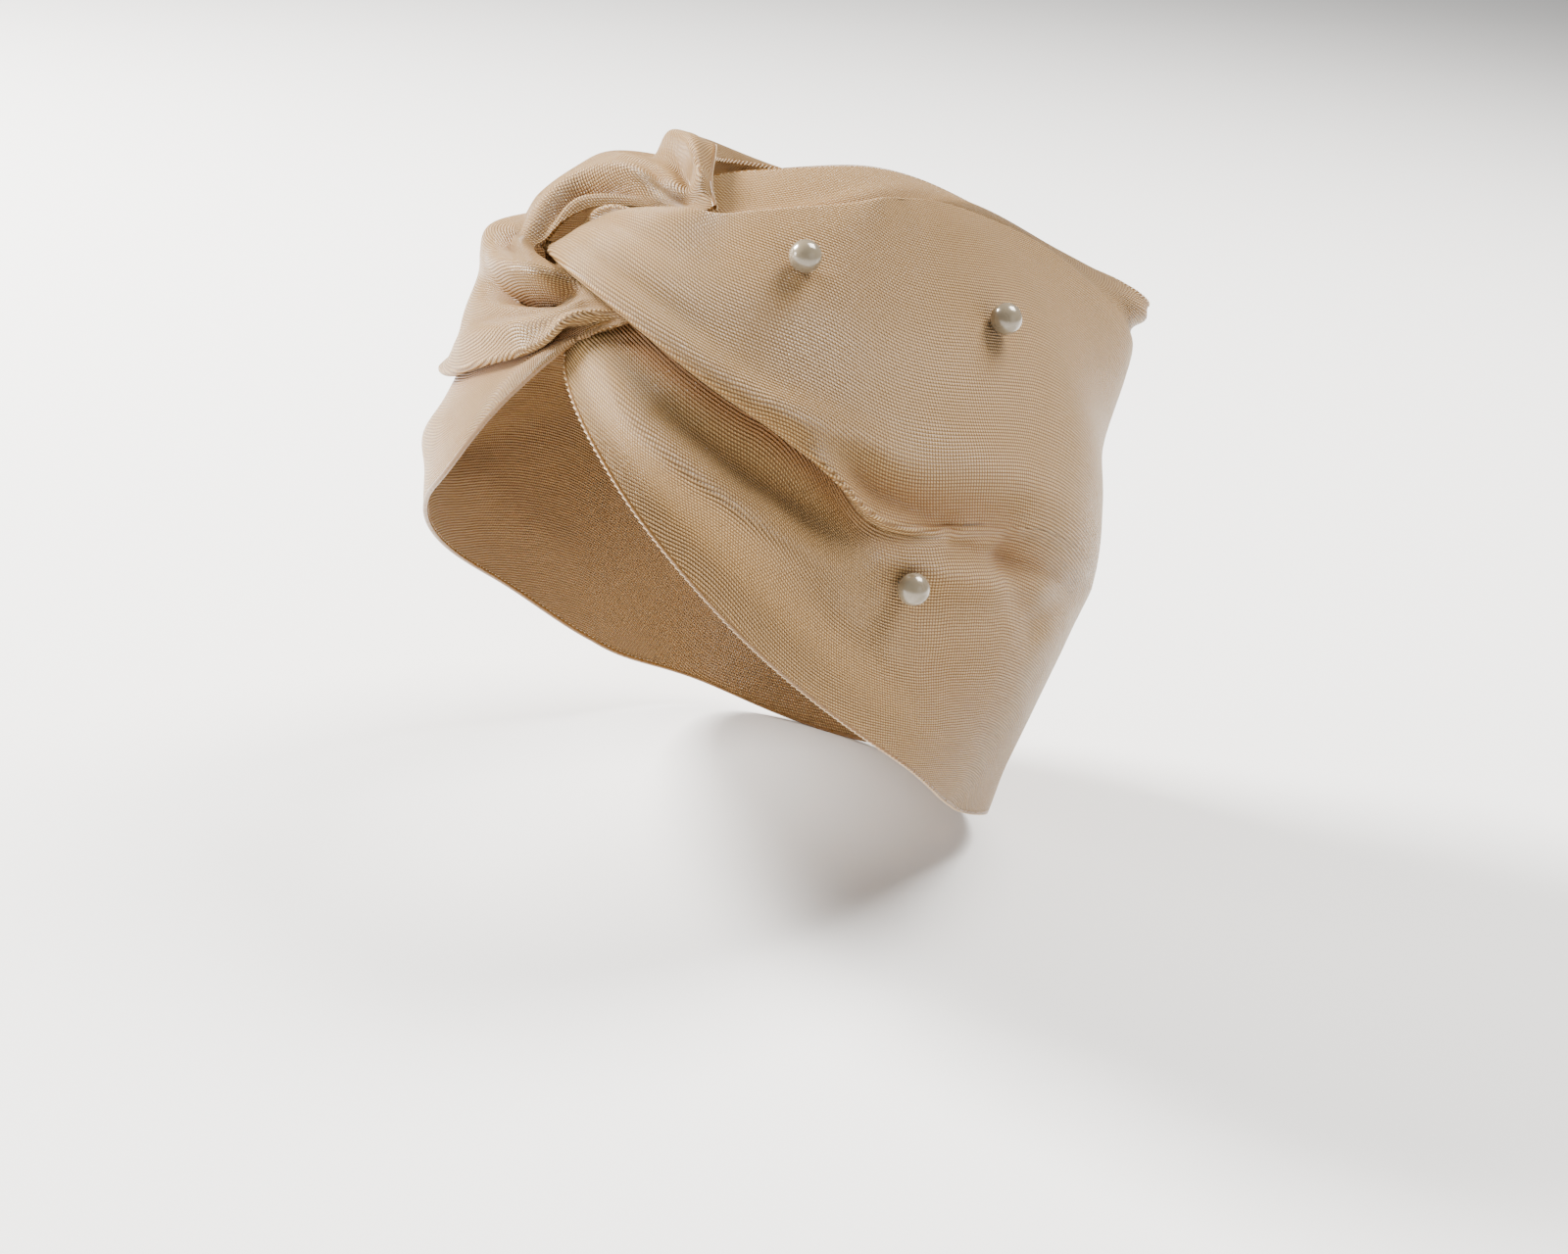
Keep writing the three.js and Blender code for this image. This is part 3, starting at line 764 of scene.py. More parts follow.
class Finishes:
    """Makes the materials of the bands, hems, threads, pearls and floor."""

    def __init__(self) -> None:
        """Builds the shared weave."""
        self.weave = WeaveEffect()

    def new_material(self, name: str, constants: dict) -> tuple[bpy.types.Material, NodeTree, bpy.types.Node]:
        """A material with one Principled shader.

        Args:
            name: The material's name.
            constants: Plain values of the shader's sockets.

        Returns:
            The material, its tree helper and the shader node.
        """
        material = bpy.data.materials.new(name)
        material.use_nodes = True
        material.node_tree.nodes.clear()
        net = NodeTree(material.node_tree)
        shader = net.add("ShaderNodeBsdfPrincipled", constants)
        net.add("ShaderNodeOutputMaterial", {0: shader.outputs[0]})
        return material, net, shader

    def satin(self, finish: SatinFinish) -> bpy.types.Material:
        """Satin with its weave, painted highlights on the weave dots, its sheen and painted shade in the
        folds.

        Args:
            finish: Colours and gloss.

        Returns:
            The material.
        """
        constants = {
            "Specular IOR Level": finish.specular,
            "Anisotropic": finish.anisotropic,
            "Sheen Weight": finish.sheen,
            "Sheen Roughness": finish.sheen_roughness,
            "Sheen Tint": finish.sheen_tint,
        }
        material, net, shader = self.new_material(finish.name, constants)
        uv = net.add("ShaderNodeUVMap", uv_map=CLOTH_MAP).outputs[0]
        fold = net.add("ShaderNodeAttribute", attribute_name=FOLD_SHADE).outputs["Fac"]
        place = net.add("ShaderNodeTexCoord").outputs["Object"]
        sizes = {"Pitch": finish.weave_pitch, "Cloth UV": uv}
        weave = net.add("ShaderNodeGroup", sizes, node_tree=self.weave.group).outputs
        tone = net.mix(net.noise(place, finish.cloud_scale, 3.0), finish.face, finish.shade)
        # Painted highlight: the weave dots are tinted towards the glint colour.
        dotted = net.mix(net.math("MULTIPLY", weave["Dots"], finish.dot_share), tone, finish.glint)
        # Painted shade: the fold shade attribute pulls the colour towards the painted shade colour.
        fold_shaded = net.mix(net.math("MULTIPLY", fold, finish.crevice_shade_share), dotted, finish.crevice)
        gloss = net.math("MULTIPLY_ADD", weave["Dots"], finish.dot_gloss, finish.roughness)
        look = {
            "Base Color": fold_shaded,
            "Roughness": net.math("MULTIPLY_ADD", weave["Slub"], finish.slub_gloss, gloss),
            "Normal": net.bump(weave["Height"], finish.weave_strength, finish.weave_height),
            "Tangent": net.add("ShaderNodeTangent", direction_type="UV_MAP", uv_map=CLOTH_MAP).outputs[0],
        }
        net.fill(shader, look)
        return material

    def hem(self, finish: SatinFinish) -> bpy.types.Material:
        """Satin of a rolled hem, whose fine ribs follow the object's own place.

        Args:
            finish: Colours and gloss of the band that the hem edges.

        Returns:
            The material.
        """
        material, net, shader = self.new_material(finish.name + "_hem", {})
        ribs = net.noise(net.add("ShaderNodeTexCoord").outputs["Object"], finish.rib_scale)
        look = {
            "Base Color": net.mix(ribs, finish.shade, finish.face),
            "Roughness": net.math("MULTIPLY_ADD", ribs, finish.rib_gloss, finish.roughness),
            "Normal": net.bump(ribs, finish.rib_strength, finish.rib_height),
        }
        net.fill(shader, look)
        return material

    def thread(self, finish: ThreadFinish) -> bpy.types.Material:
        """Twisted thread of the hem stitches.

        Args:
            finish: Colour and gloss.

        Returns:
            The material.
        """
        material, net, shader = self.new_material("hem_thread", {})
        twist = net.noise(net.add("ShaderNodeTexCoord").outputs["Object"], finish.twist_scale)
        dark = tuple(c * finish.dark_share for c in finish.face)
        look = {
            "Base Color": net.mix(twist, finish.face, dark),
            "Roughness": net.math("MULTIPLY_ADD", twist, finish.twist_gloss, finish.roughness),
        }
        net.fill(shader, look)
        return material

    def pearl(self, finish: PearlFinish) -> bpy.types.Material:
        """Pearl with faint mottling towards a soft blush, painted shade darkening its rim, and a clear coat.

        Args:
            finish: Colours and gloss.

        Returns:
            The material.
        """
        constants = {
            "Metallic": finish.metallic,
            "Coat Weight": 1.0,
            "Coat Roughness": finish.coat_roughness,
        }
        material, net, shader = self.new_material("pearl_nacre", constants)
        mottle = net.noise(net.add("ShaderNodeTexCoord").outputs["Object"], finish.mottle_scale, 4.0)
        rim_shade = net.add("ShaderNodeLayerWeight", {"Blend": finish.rim_shade_blend}).outputs["Facing"]
        body = net.mix(mottle, finish.body, finish.blush_and_rim_shade)
        look = {
            # Painted shade: the rim, where the skin turns from the view, is darkened towards the blush
            # colour.
            "Base Color": net.mix(net.math("MULTIPLY", rim_shade, finish.rim_shade_share), body, finish.blush_and_rim_shade),
            "Roughness": net.math("MULTIPLY_ADD", mottle, finish.mottle_gloss, finish.roughness),
            "Normal": net.bump(mottle, finish.mottle_strength, finish.mottle_height),
        }
        net.fill(shader, look)
        return material

    def floor(self) -> bpy.types.Material:
        """Plain pale floor."""
        constants = {"Base Color": (0.93, 0.935, 0.945), "Roughness": 0.9}
        return self.new_material("pale_floor", constants)[0]


@dataclass
class Band:
    """One satin band: its shape from the fold tables, and its dressed meshes."""

    name: str
    cad_node: str
    hand: Hand
    lines: tuple[FoldLine, ...]
    reliefs: tuple[Relief, ...]
    pleats: tuple[Pleat, ...]
    spans: tuple[Span, ...]
    ridges: tuple[Ridge, ...]
    eased: EasedPatch
    hollow: HollowForm = field(default_factory=HollowForm)
    cloth: ClothSizes = field(default_factory=ClothSizes)
    rows_per_station: int = 26
    dent_shade_depth: float = 4.5
    arc_steps: int = 10
    run_steps: int = 4
    path_steps: int = 40
    layer_reach: float = 0.6
    shade_reach: float = 7.0
    shade_start: float = 0.4
    dent_shade_start: float = 0.15
    dent_shade_most: float = 0.6
    inner_shade: float = 0.25
    ramp_start: float = 0.55
    ramp_width: float = 0.35
    seam_step: float = 0.3

    def __post_init__(self) -> None:
        """Lays out the cloth's grid and its normals."""
        self.names = [line.name for line in self.lines]
        self.tables = {line.name: self._table(line) for line in self.lines}
        places = np.linspace(0, LAST_STATION, LAST_STATION * self.rows_per_station + 1)
        sections = [self.cross_section(place) for place in places]
        self.places = places
        self.points = np.array([section[0] for section in sections])
        self.ats = sections[0][1]
        self.crevice = np.array([section[2] for section in sections])
        self.points[-1, :, 0] = self.hand.value * self.cloth.seam_gap / 2
        self.normals = self.grid_normals(self.points)
        self.press_ridges()

    @staticmethod
    def _table(line: FoldLine) -> np.ndarray:
        """A fold line's columns as one array, a row for each station."""
        return np.array([line.across, line.along, line.rise, line.lift], float).T

    def lay_point(self, direction: np.ndarray, lift: np.ndarray) -> np.ndarray:
        """Points of the cloth's middle over the hollow.

        Args:
            direction: Directions, shape (n, 3).
            lift: Lifts as shares of the fold lift, shape (n,).

        Returns:
            Points, shape (n, 3).
        """
        base, normal = self.hollow.surface(direction)
        return base + normal * (self.cloth.base_lift + lift * self.cloth.fold_lift)[:, None]

    def pleat_profile(self, pleat: Pleat, place: float) -> np.ndarray:
        """A pleat seen end on: a run in, a turn, a run back and a second turn.

        Args:
            pleat: The pleat's table row.
            place: Place along the band, in stations.

        Returns:
            Points of the profile, shape (n, 2).
        """
        depth = value_at(pleat.depth, place) * self.cloth.pleat_depth
        bend = math.radians(min(max(value_at(pleat.bend, place), 0), 180))
        inner = max(value_at(pleat.inner, place), 1) * self.cloth.turn_radius
        points = [np.zeros(2)]

        def advance(length: float, heading: float) -> None:
            """Adds one step in a heading."""
            points.append(points[-1] + length * np.array([math.cos(heading), math.sin(heading)]))

        def turn(radius: float, start: float, stop: float) -> None:
            """Adds an arc in short steps.

            Args:
                radius: Radius of the arc.
                start: Heading at its start.
                stop: Heading at its end.
            """
            swing = (stop - start) / self.arc_steps
            chord = max(2 * radius * math.sin(abs(swing) / 2), self.cloth.flat_turn / self.arc_steps)
            for i in range(self.arc_steps):
                advance(chord, start + swing * (i + 0.5))

        for _ in range(self.run_steps):
            advance(depth / self.run_steps, 0)
        turn(inner, 0, bend)
        for _ in range(self.run_steps):
            advance(depth / self.run_steps, bend)
        turn(self.cloth.turn_radius, bend, 0)
        return np.array(points)

    def lay_lines(self, place: float) -> tuple[dict, dict, dict]:
        """Where the fold lines lie at one place, with the pleats opened.

        Args:
            place: Place along the band, in stations.

        Returns:
            Lower edges, upper edges and pleats, by line name.
        """
        below: dict = {}
        above: dict = {}
        opened: dict = {}
        for name in self.names:
            value = along_stations(self.tables[name], place)
            edge = (unit_rows(value[:3]), float(value[3]))
            below[name] = edge
            above[name] = edge
        for pleat in self.pleats:
            name = pleat.line
            profile = self.pleat_profile(pleat, place)
            end = profile[-1].copy()
            direction, flat = below[name]
            base, normal = (item[0] for item in self.hollow.surface(direction[None]))
            ahead = below[self.names[self.names.index(name) + 1]][0]
            across = self.hollow.surface(ahead[None])[0][0] - base
            across = unit_rows(across - normal * (across @ normal))
            step = across * end[0] / 2
            raised = flat + end[1] / self.cloth.fold_lift
            up = pleat.lap is Lap.UP
            below[name] = (self.hollow.direction_of(base - step), flat if up else raised)
            above[name] = (self.hollow.direction_of(base + step), raised if up else flat)
            if not up:
                profile = np.stack([end[0] - profile[:, 0], profile[:, 1] - end[1]], axis=1)[::-1]
            opened[name] = (profile, across, normal)
        return below, above, opened

    def cross_section(self, place: float) -> tuple[np.ndarray, np.ndarray, np.ndarray]:
        """A row of points from hem to hem.

        Args:
            place: Place along the band, in stations.

        Returns:
            Points, their places between the lines, and how much painted shade each gets from the fold it lies
            in.
        """
        below, above, opened = self.lay_lines(place)
        points: list[np.ndarray] = []
        ats: list[np.ndarray] = []
        crevice: list[np.ndarray] = []
        for span in self.spans:
            first, last = self.names.index(span.first), self.names.index(span.last)
            names = self.names[first : last + 1]
            edges = [(above if name == span.first else below)[name] for name in names]
            spots = np.arange(first, last + 1, dtype=float)
            marks = [(float(i), edge[1]) for i, edge in zip(range(first, last + 1), edges)]
            for relief in self.reliefs:
                if relief.line in names[:-1]:
                    spot = self.names.index(relief.line) + relief.share
                    marks.append((spot, value_at(relief.lift, place)))
            marks.sort()
            at = np.linspace(first, last, span.steps + 1)
            direction = through_knots(spots, np.array([edge[0] for edge in edges]), at)
            knots, lifts = np.array(marks).T
            lift = through_knots(knots, lifts, at)
            row = self.lay_point(direction, lift)
            points.append(row)
            ats.append(at)
            crevice.append(self.span_crevice_shade(span, row, opened, place))
            if span.last in opened:
                profile, across, normal = opened[span.last]
                low, high = below[span.last], above[span.last]
                start = self.lay_point(low[0][None], np.array([low[1]]))[0]
                finish = self.lay_point(high[0][None], np.array([high[1]]))[0]
                local = start + profile[:, :1] * across + profile[:, 1:] * normal
                slip = finish - local[-1]
                share = np.arange(len(profile))[:, None] / (len(profile) - 1)
                points.append((local + slip * share)[1:-1])
                ats.append(np.full(len(profile) - 2, float(last)))
                crevice.append(self.pleat_crevice_shade(len(profile), span.last, place))
        return np.concatenate(points), np.concatenate(ats), np.concatenate(crevice)

    def pleat_named(self, name: str) -> Pleat:
        """The pleat that lies along a fold line."""
        return next(item for item in self.pleats if item.line == name)

    def pleat_strength(self, name: str, place: float) -> float:
        """How far a pleat is closed at a place, 0 to 1."""
        return min(max(value_at(self.pleat_named(name).bend, place) / 180, 0), 1)

    def span_crevice_shade(self, span: Span, row: np.ndarray, opened: dict, place: float) -> np.ndarray:
        """Painted shade on a span: strong where it goes under a pleat.

        Args:
            span: The span.
            row: Its points.
            opened: The opened pleats.
            place: Place along the band, in stations.

        Returns:
            A value from 0 to 1 for each point.
        """
        found = np.zeros(len(row))
        for name, corner in ((span.last, row[-1]), (span.first, row[0])):
            if name not in opened:
                continue
            pleat = self.pleat_named(name)
            if (pleat.lap is Lap.UP) == (name == span.last):
                depth = value_at(pleat.depth, place) * self.cloth.pleat_depth
                gap = np.linalg.norm(row - corner, axis=1)
                near = np.clip(1 - (gap - self.shade_start * depth) / self.shade_reach, 0, 1) ** 2
                found = np.maximum(found, near * self.pleat_strength(name, place))
        return found

    def pleat_crevice_shade(self, count: int, name: str, place: float) -> np.ndarray:
        """Painted shade inside a pleat, less on its visible upper turn.

        Args:
            count: Number of points of the pleat's profile.
            name: The pleat's fold line.
            place: Place along the band, in stations.

        Returns:
            A value from 0 to 1 for each point between the profile's ends.
        """
        share = np.arange(count)[1:-1] / (count - 1)
        if self.pleat_named(name).lap is Lap.DOWN:
            share = 1 - share
        return np.clip(1.25 - 1.6 * share, 0, 1) * self.pleat_strength(name, place)

    def grid_normals(self, points: np.ndarray) -> np.ndarray:
        """Outward normals of the grid, kept in the plane of the back seam along it.

        Args:
            points: The grid, shape (rows, columns, 3).

        Returns:
            Unit normals of the same shape.
        """
        u = np.gradient(points, axis=0)
        v = np.gradient(points, axis=1)
        normal = np.cross(u, v) * self.hand.value
        normal[-1, :, 0] = 0
        return unit_rows(normal)

    def spot(self, station: float, at: float) -> tuple[np.ndarray, np.ndarray]:
        """Point and normal of the cloth at one spot.

        Args:
            station: Place along the band, in stations.
            at: Place between the lines.

        Returns:
            The point and the unit normal.
        """
        row = min(max(station, 0), LAST_STATION) * self.rows_per_station
        i = int(min(math.floor(row), len(self.points) - 2))
        columns = np.arange(len(self.ats))
        column = float(np.interp(at, self.ats + columns * 1e-9, columns))
        j = int(min(math.floor(column), len(self.ats) - 2))
        s, t = row - i, column - j
        weights = (
            (i, j, (1 - s) * (1 - t)),
            (i + 1, j, s * (1 - t)),
            (i, j + 1, (1 - s) * t),
            (i + 1, j + 1, s * t),
        )
        point = sum(self.points[a, b] * w for a, b, w in weights)
        normal = unit_rows(sum(self.normals[a, b] * w for a, b, w in weights))
        return point, normal

    def over_pleat(self, pleat: Pleat) -> np.ndarray:
        """Which columns of the grid lie above a pleat: 0 under it, 1 over it.

        Args:
            pleat: The pleat's table row.

        Returns:
            A value for each column, with a ramp hidden inside the fold.
        """
        line = self.names.index(pleat.line)
        over = (self.ats > line).astype(float)
        inside = np.flatnonzero(self.ats == line)
        share = np.linspace(0, 1, len(inside))
        ramp = (share - (self.ramp_start if pleat.lap is Lap.UP else 0)) / self.ramp_width
        over[inside] = np.clip(ramp, 0, 1)
        return over

    def same_layer(self, path_at: np.ndarray) -> np.ndarray:
        """How fully each point of the grid shares the layer of the path nearest to it.

        Args:
            path_at: Place between the lines of the nearest path point, by grid point.

        Returns:
            A value from 0 to 1 for each grid point.
        """
        share = np.exp(-(((self.ats[None] - path_at) / self.layer_reach) ** 4))
        for pleat in self.pleats:
            over = self.over_pleat(pleat)[None]
            wanted = np.where(path_at >= self.names.index(pleat.line), over, 1 - over)
            closed = np.array([self.pleat_strength(pleat.line, place) for place in self.places])[:, None]
            share = share * (1 - closed * (1 - wanted))
        return share

    def press_ridges(self) -> None:
        """Raises the soft folds, presses the dents into the cloth and paints shade into the dents."""
        lift = np.zeros(self.points.shape[:2])
        share = np.linspace(0, 1, self.path_steps)
        for ridge in self.ridges:
            marks = np.linspace(0, 1, len(ridge.stations))
            drawn = np.array([ridge.stations, ridge.ats, ridge.heights], float).T
            stations, ats, heights = through_knots(marks, drawn, share).T
            path = np.array([self.spot(s, a)[0] for s, a in zip(stations, ats)])
            gap = np.linalg.norm(self.points[:, :, None] - path[None, None], axis=3)
            near = gap.argmin(axis=2)
            close = np.take_along_axis(gap, near[..., None], axis=2)[..., 0]
            lift += heights[near] * np.exp(-((close / ridge.width) ** 2)) * self.same_layer(ats[near])
        for _ in range(2):
            lift = 0.4 * lift + 0.15 * neighbour_sum(lift)
        outward = self.hollow.surface(self.hollow.direction_of(self.points))[1]
        self.points = self.points + outward * lift[..., None]
        # Painted shade: deeper dents get more of the fold shade colour.
        dent_shade = np.clip(-lift / self.dent_shade_depth - self.dent_shade_start, 0, self.dent_shade_most)
        self.crevice = np.maximum(self.crevice, dent_shade)
        self.even_out()
        self.normals = self.grid_normals(self.points)

    def even_out(self) -> None:
        """Draws the cloth level where a lap has run out near the back."""
        patch = self.eased
        along = (self.places[:, None] - patch.station) / patch.reach_stations
        across = (self.ats[None] - patch.at) / patch.reach_at
        pull = patch.pull * np.exp(-(along**4) - across**4)[..., None]
        pull[-1] = 0
        for _ in range(patch.passes):
            self.points = self.points + pull * (neighbour_sum(self.points) / 4 - self.points)

    def sew_to(self, other: "Band") -> None:
        """Brings this band's back edge onto the other band's, and eases the rows before it.

        Args:
            other: The band on the other side of the back seam.
        """
        edge, guide = self.points[-1], other.points[-1]
        order = np.argsort(guide[:, 2])
        shift = np.interp(edge[:, 2], guide[order, 2], guide[order, 1]) - edge[:, 1]
        ease = np.linspace(0, 1, self.rows_per_station)[:, None] ** 2
        self.points[-self.rows_per_station :, :, 1] += ease * shift
        self.normals = self.grid_normals(self.points)

    def cloth_lengths(self) -> tuple[np.ndarray, np.ndarray]:
        """Lengths along and across the cloth, in metres, for its UV map.

        Returns:
            The length along and the length across, from the cloth's middle, for each point.
        """
        run = np.linalg.norm(np.diff(self.points, axis=0), axis=2)
        u = np.concatenate([np.zeros((1, run.shape[1])), np.cumsum(run, axis=0)]) * MM
        step = np.linalg.norm(np.diff(self.points, axis=1), axis=2)
        v = np.concatenate([np.zeros((len(self.points), 1)), np.cumsum(step, axis=1)], axis=1) * MM
        return u - u[[len(u) // 2]], v - v[:, [v.shape[1] // 2]]

    def build(self, material: bpy.types.Material) -> bpy.types.Object:
        """Builds the closed wall of cloth with its UV map and its attribute of painted fold shade.

        Args:
            material: The satin.

        Returns:
            The band's object.
        """
        rows, width = self.points.shape[:2]
        half = self.cloth.wall / 2
        faces_out = self.points + self.normals * half
        faces_in = self.points - self.normals * half
        vertices = np.concatenate([faces_out.reshape(-1, 3), faces_in.reshape(-1, 3)]) * MM
        index = np.arange(rows * width).reshape(rows, width)
        back = index + rows * width
        a, b, c, d = index[:-1, :-1], index[1:, :-1], index[1:, 1:], index[:-1, 1:]
        quads = [np.stack([a, b, c, d], -1).reshape(-1, 4)]
        a, b, c, d = back[:-1, :-1], back[:-1, 1:], back[1:, 1:], back[1:, :-1]
        quads.append(np.stack([a, b, c, d], -1).reshape(-1, 4))
        for column, flip in ((0, False), (width - 1, True)):
            edge, under = index[:, column], back[:, column]
            strip = np.stack([edge[:-1], under[:-1], under[1:], edge[1:]], -1)
            quads.append(strip[:, ::-1] if flip else strip)
        for line, flip in ((0, False), (rows - 1, True)):
            edge, under = index[line], back[line]
            strip = np.stack([edge[:-1], edge[1:], under[1:], under[:-1]], -1)
            quads.append(strip[:, ::-1] if flip else strip)
        polygons = np.concatenate(quads)
        if self.hand is Hand.RIGHT:
            polygons = polygons[:, ::-1]
        mesh = bpy.data.meshes.new(self.name)
        mesh.from_pydata(vertices.tolist(), [], polygons.tolist())
        u, v = self.cloth_lengths()
        flat = np.stack([u, v], -1).reshape(-1, 2)
        flat = np.concatenate([flat, flat])
        layer = mesh.uv_layers.new(name=CLOTH_MAP)
        corners = np.zeros(len(mesh.loops), np.int32)
        mesh.loops.foreach_get("vertex_index", corners)
        layer.data.foreach_set("uv", flat[corners].astype(np.float32).ravel())
        shade = mesh.attributes.new(FOLD_SHADE, "FLOAT", "POINT")
        # Painted shade: the inner face is darkened at least by the inner shade share.
        depth = np.concatenate([self.crevice.ravel(), np.maximum(self.crevice, self.inner_shade).ravel()])
        shade.data.foreach_set("value", depth.astype(np.float32))
        mesh.polygons.foreach_set("use_smooth", np.ones(len(mesh.polygons), bool))
        mesh.materials.append(material)
        mesh.update()
        piece = in_scene(self.name, mesh)
        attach(piece, "root")
        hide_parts(self.cad_node)
        return piece

    def flat_size(self) -> tuple[float, float]:
        """Measures the opened-out cloth.

        Returns:
            Its mean width and its length, in metres.
        """
        step = np.linalg.norm(np.diff(self.points, axis=1), axis=2).sum(axis=1)
        run = np.linalg.norm(np.diff(self.points, axis=0), axis=2)
        u = np.median(run, axis=1)
        width = float((0.5 * (step[1:] + step[:-1]) * u).sum() / u.sum())
        return width * MM, float(u.sum()) * MM

    def seam_path(self) -> np.ndarray:
        """Draws the back seam on the cloth's outer face.

        Returns:
            Points of the seam, in metres.
        """
        path = self.points[-1] + self.normals[-1] * self.cloth.seam_ridge
        path[:, 0] = 0
        gap = np.concatenate([[1.0], np.linalg.norm(np.diff(path, axis=0), axis=1)])
        return path[gap > self.seam_step] * MM

    def edge_path(self, last: bool) -> np.ndarray:
        """The middle line of a hem, from the knot to the back seam, in metres."""
        return self.points[:, -1 if last else 0] * MM


@dataclass
class RolledHem:
    """A narrow rolled hem with its slanting stitches, laid along an edge by a node tree."""

    name: str
    path: np.ndarray
    roll_radius: float = 0.00066
    stitch_pitch: float = 0.0016
    stitch_radius: float = 0.00014
    stitch_slant: float = 0.6
    slant_spread: float = 0.12
    seed: int = 7

    def path_object(self) -> bpy.types.Object:
        """Makes the hem's path.

        Returns:
            An open wire of edges.
        """
        mesh = bpy.data.meshes.new(self.name)
        edges = [(i, i + 1) for i in range(len(self.path) - 1)]
        mesh.from_pydata(self.path.tolist(), edges, [])
        return in_scene(self.name, mesh)

    @staticmethod
    def tree() -> bpy.types.NodeTree:
        """The geometry tree of a rolled hem, built once.

        Returns:
            The node tree with named size inputs.
        """
        known = bpy.data.node_groups.get("rolled_hem")
        if known:
            return known
        tree = bpy.data.node_groups.new("rolled_hem", "GeometryNodeTree")
        face = tree.interface
        face.new_socket("Path", in_out="INPUT", socket_type="NodeSocketGeometry")
        for label in ("Roll Radius", "Stitch Pitch", "Stitch Radius", "Stitch Slant", "Slant Spread"):
            face.new_socket(label, in_out="INPUT", socket_type="NodeSocketFloat")
        face.new_socket("Seed", in_out="INPUT", socket_type="NodeSocketInt")
        for label in ("Cloth Finish", "Thread Finish"):
            face.new_socket(label, in_out="INPUT", socket_type="NodeSocketMaterial")
        face.new_socket("Hem", in_out="OUTPUT", socket_type="NodeSocketGeometry")
        net = NodeTree(tree)
        start = net.add("NodeGroupInput").outputs
        curve = net.add("GeometryNodeMeshToCurve", {0: start["Path"]}).outputs[0]
        even = net.add("GeometryNodeResampleCurve", {"Curve": curve, "Length": ROLL_STEP}, mode="LENGTH")
        circle = {"Resolution": ROLL_SIDES, "Radius": start["Roll Radius"]}
        ring = net.add("GeometryNodeCurvePrimitiveCircle", circle, mode="RADIUS")
        swept = {"Curve": even.outputs[0], "Profile Curve": ring.outputs[0], "Fill Caps": True}
        roll = net.add("GeometryNodeCurveToMesh", swept)
        smooth = net.add("GeometryNodeSetShadeSmooth", {"Geometry": roll.outputs[0]})
        pitch = {"Curve": curve, "Length": start["Stitch Pitch"]}
        spots = net.add("GeometryNodeCurveToPoints", pitch, mode="LENGTH").outputs
        strand = {
            "Vertices": STITCH_SIDES,
            "Side Segments": STITCH_STEPS,
            "Radius": start["Stitch Radius"],
            "Depth": net.math("MULTIPLY", start["Roll Radius"], STITCH_REACH),
        }
        thread = net.add("GeometryNodeMeshCylinder", strand).outputs["Mesh"]
        offset = net.add("ShaderNodeCombineXYZ", {"X": start["Roll Radius"]}).outputs[0]
        moved = net.add("GeometryNodeTransform", {"Geometry": thread, "Translation": offset})
        stand = {"Points": spots["Points"], "Instance": moved.outputs[0], "Rotation": spots["Rotation"]}
        placed = net.add("GeometryNodeInstanceOnPoints", stand)
        spread = start["Slant Spread"]
        limits = {2: net.math("MULTIPLY", spread, -1.0), 3: spread, "Seed": start["Seed"]}
        vary = net.add("FunctionNodeRandomValue", limits, data_type="FLOAT").outputs[1]
        tilt = net.add("ShaderNodeCombineXYZ", {"X": net.math("ADD", start["Stitch Slant"], vary)})
        slanted = {"Instances": placed.outputs[0], "Rotation": tilt.outputs[0]}
        lean = net.add("GeometryNodeRotateInstances", slanted)
        thread_finish = {"Material": start["Thread Finish"]}
        sewn = net.add("GeometryNodeSetMaterial", {"Geometry": lean.outputs[0], **thread_finish})
        join = net.add("GeometryNodeJoinGeometry", {0: smooth.outputs[0]})
        net.put(join.inputs[0], sewn.outputs[0])
        real = net.add("GeometryNodeRealizeInstances", {0: join.outputs[0]})
        threads = net.add("GeometryNodeMaterialSelection", thread_finish)
        rest = net.add("FunctionNodeBooleanMath", {0: threads.outputs[0]}, operation="NOT")
        edged = {
            "Geometry": real.outputs[0],
            "Selection": rest.outputs[0],
            "Material": start["Cloth Finish"],
        }
        cloth = net.add("GeometryNodeSetMaterial", edged)
        net.add("NodeGroupOutput", {0: cloth.outputs[0]})
        return tree

    def build(self, cloth: bpy.types.Material, thread: bpy.types.Material) -> bpy.types.Object:
        """Makes the hem as a plain mesh.

        Args:
            cloth: Material of the rolled cloth.
            thread: Material of the stitches.

        Returns:
            The hem's object.
        """
        wire = self.path_object()
        modifier = wire.modifiers.new("rolled_hem", "NODES")
        modifier.node_group = self.tree()
        values = {
            "Roll Radius": self.roll_radius,
            "Stitch Pitch": self.stitch_pitch,
            "Stitch Radius": self.stitch_radius,
            "Stitch Slant": self.stitch_slant,
            "Slant Spread": self.slant_spread,
            "Seed": self.seed,
            "Cloth Finish": cloth,
            "Thread Finish": thread,
        }
        for item in modifier.node_group.interface.items_tree:
            if item.item_type == "SOCKET" and item.in_out == "INPUT" and item.name in values:
                modifier[item.identifier] = values[item.name]
        graph = bpy.context.evaluated_depsgraph_get()
        graph.update()
        made = bpy.data.meshes.new_from_object(wire.evaluated_get(graph))
        wire.modifiers.remove(modifier)
        wire.data = made
        made.name = self.name
        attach(wire, "root")
        return wire


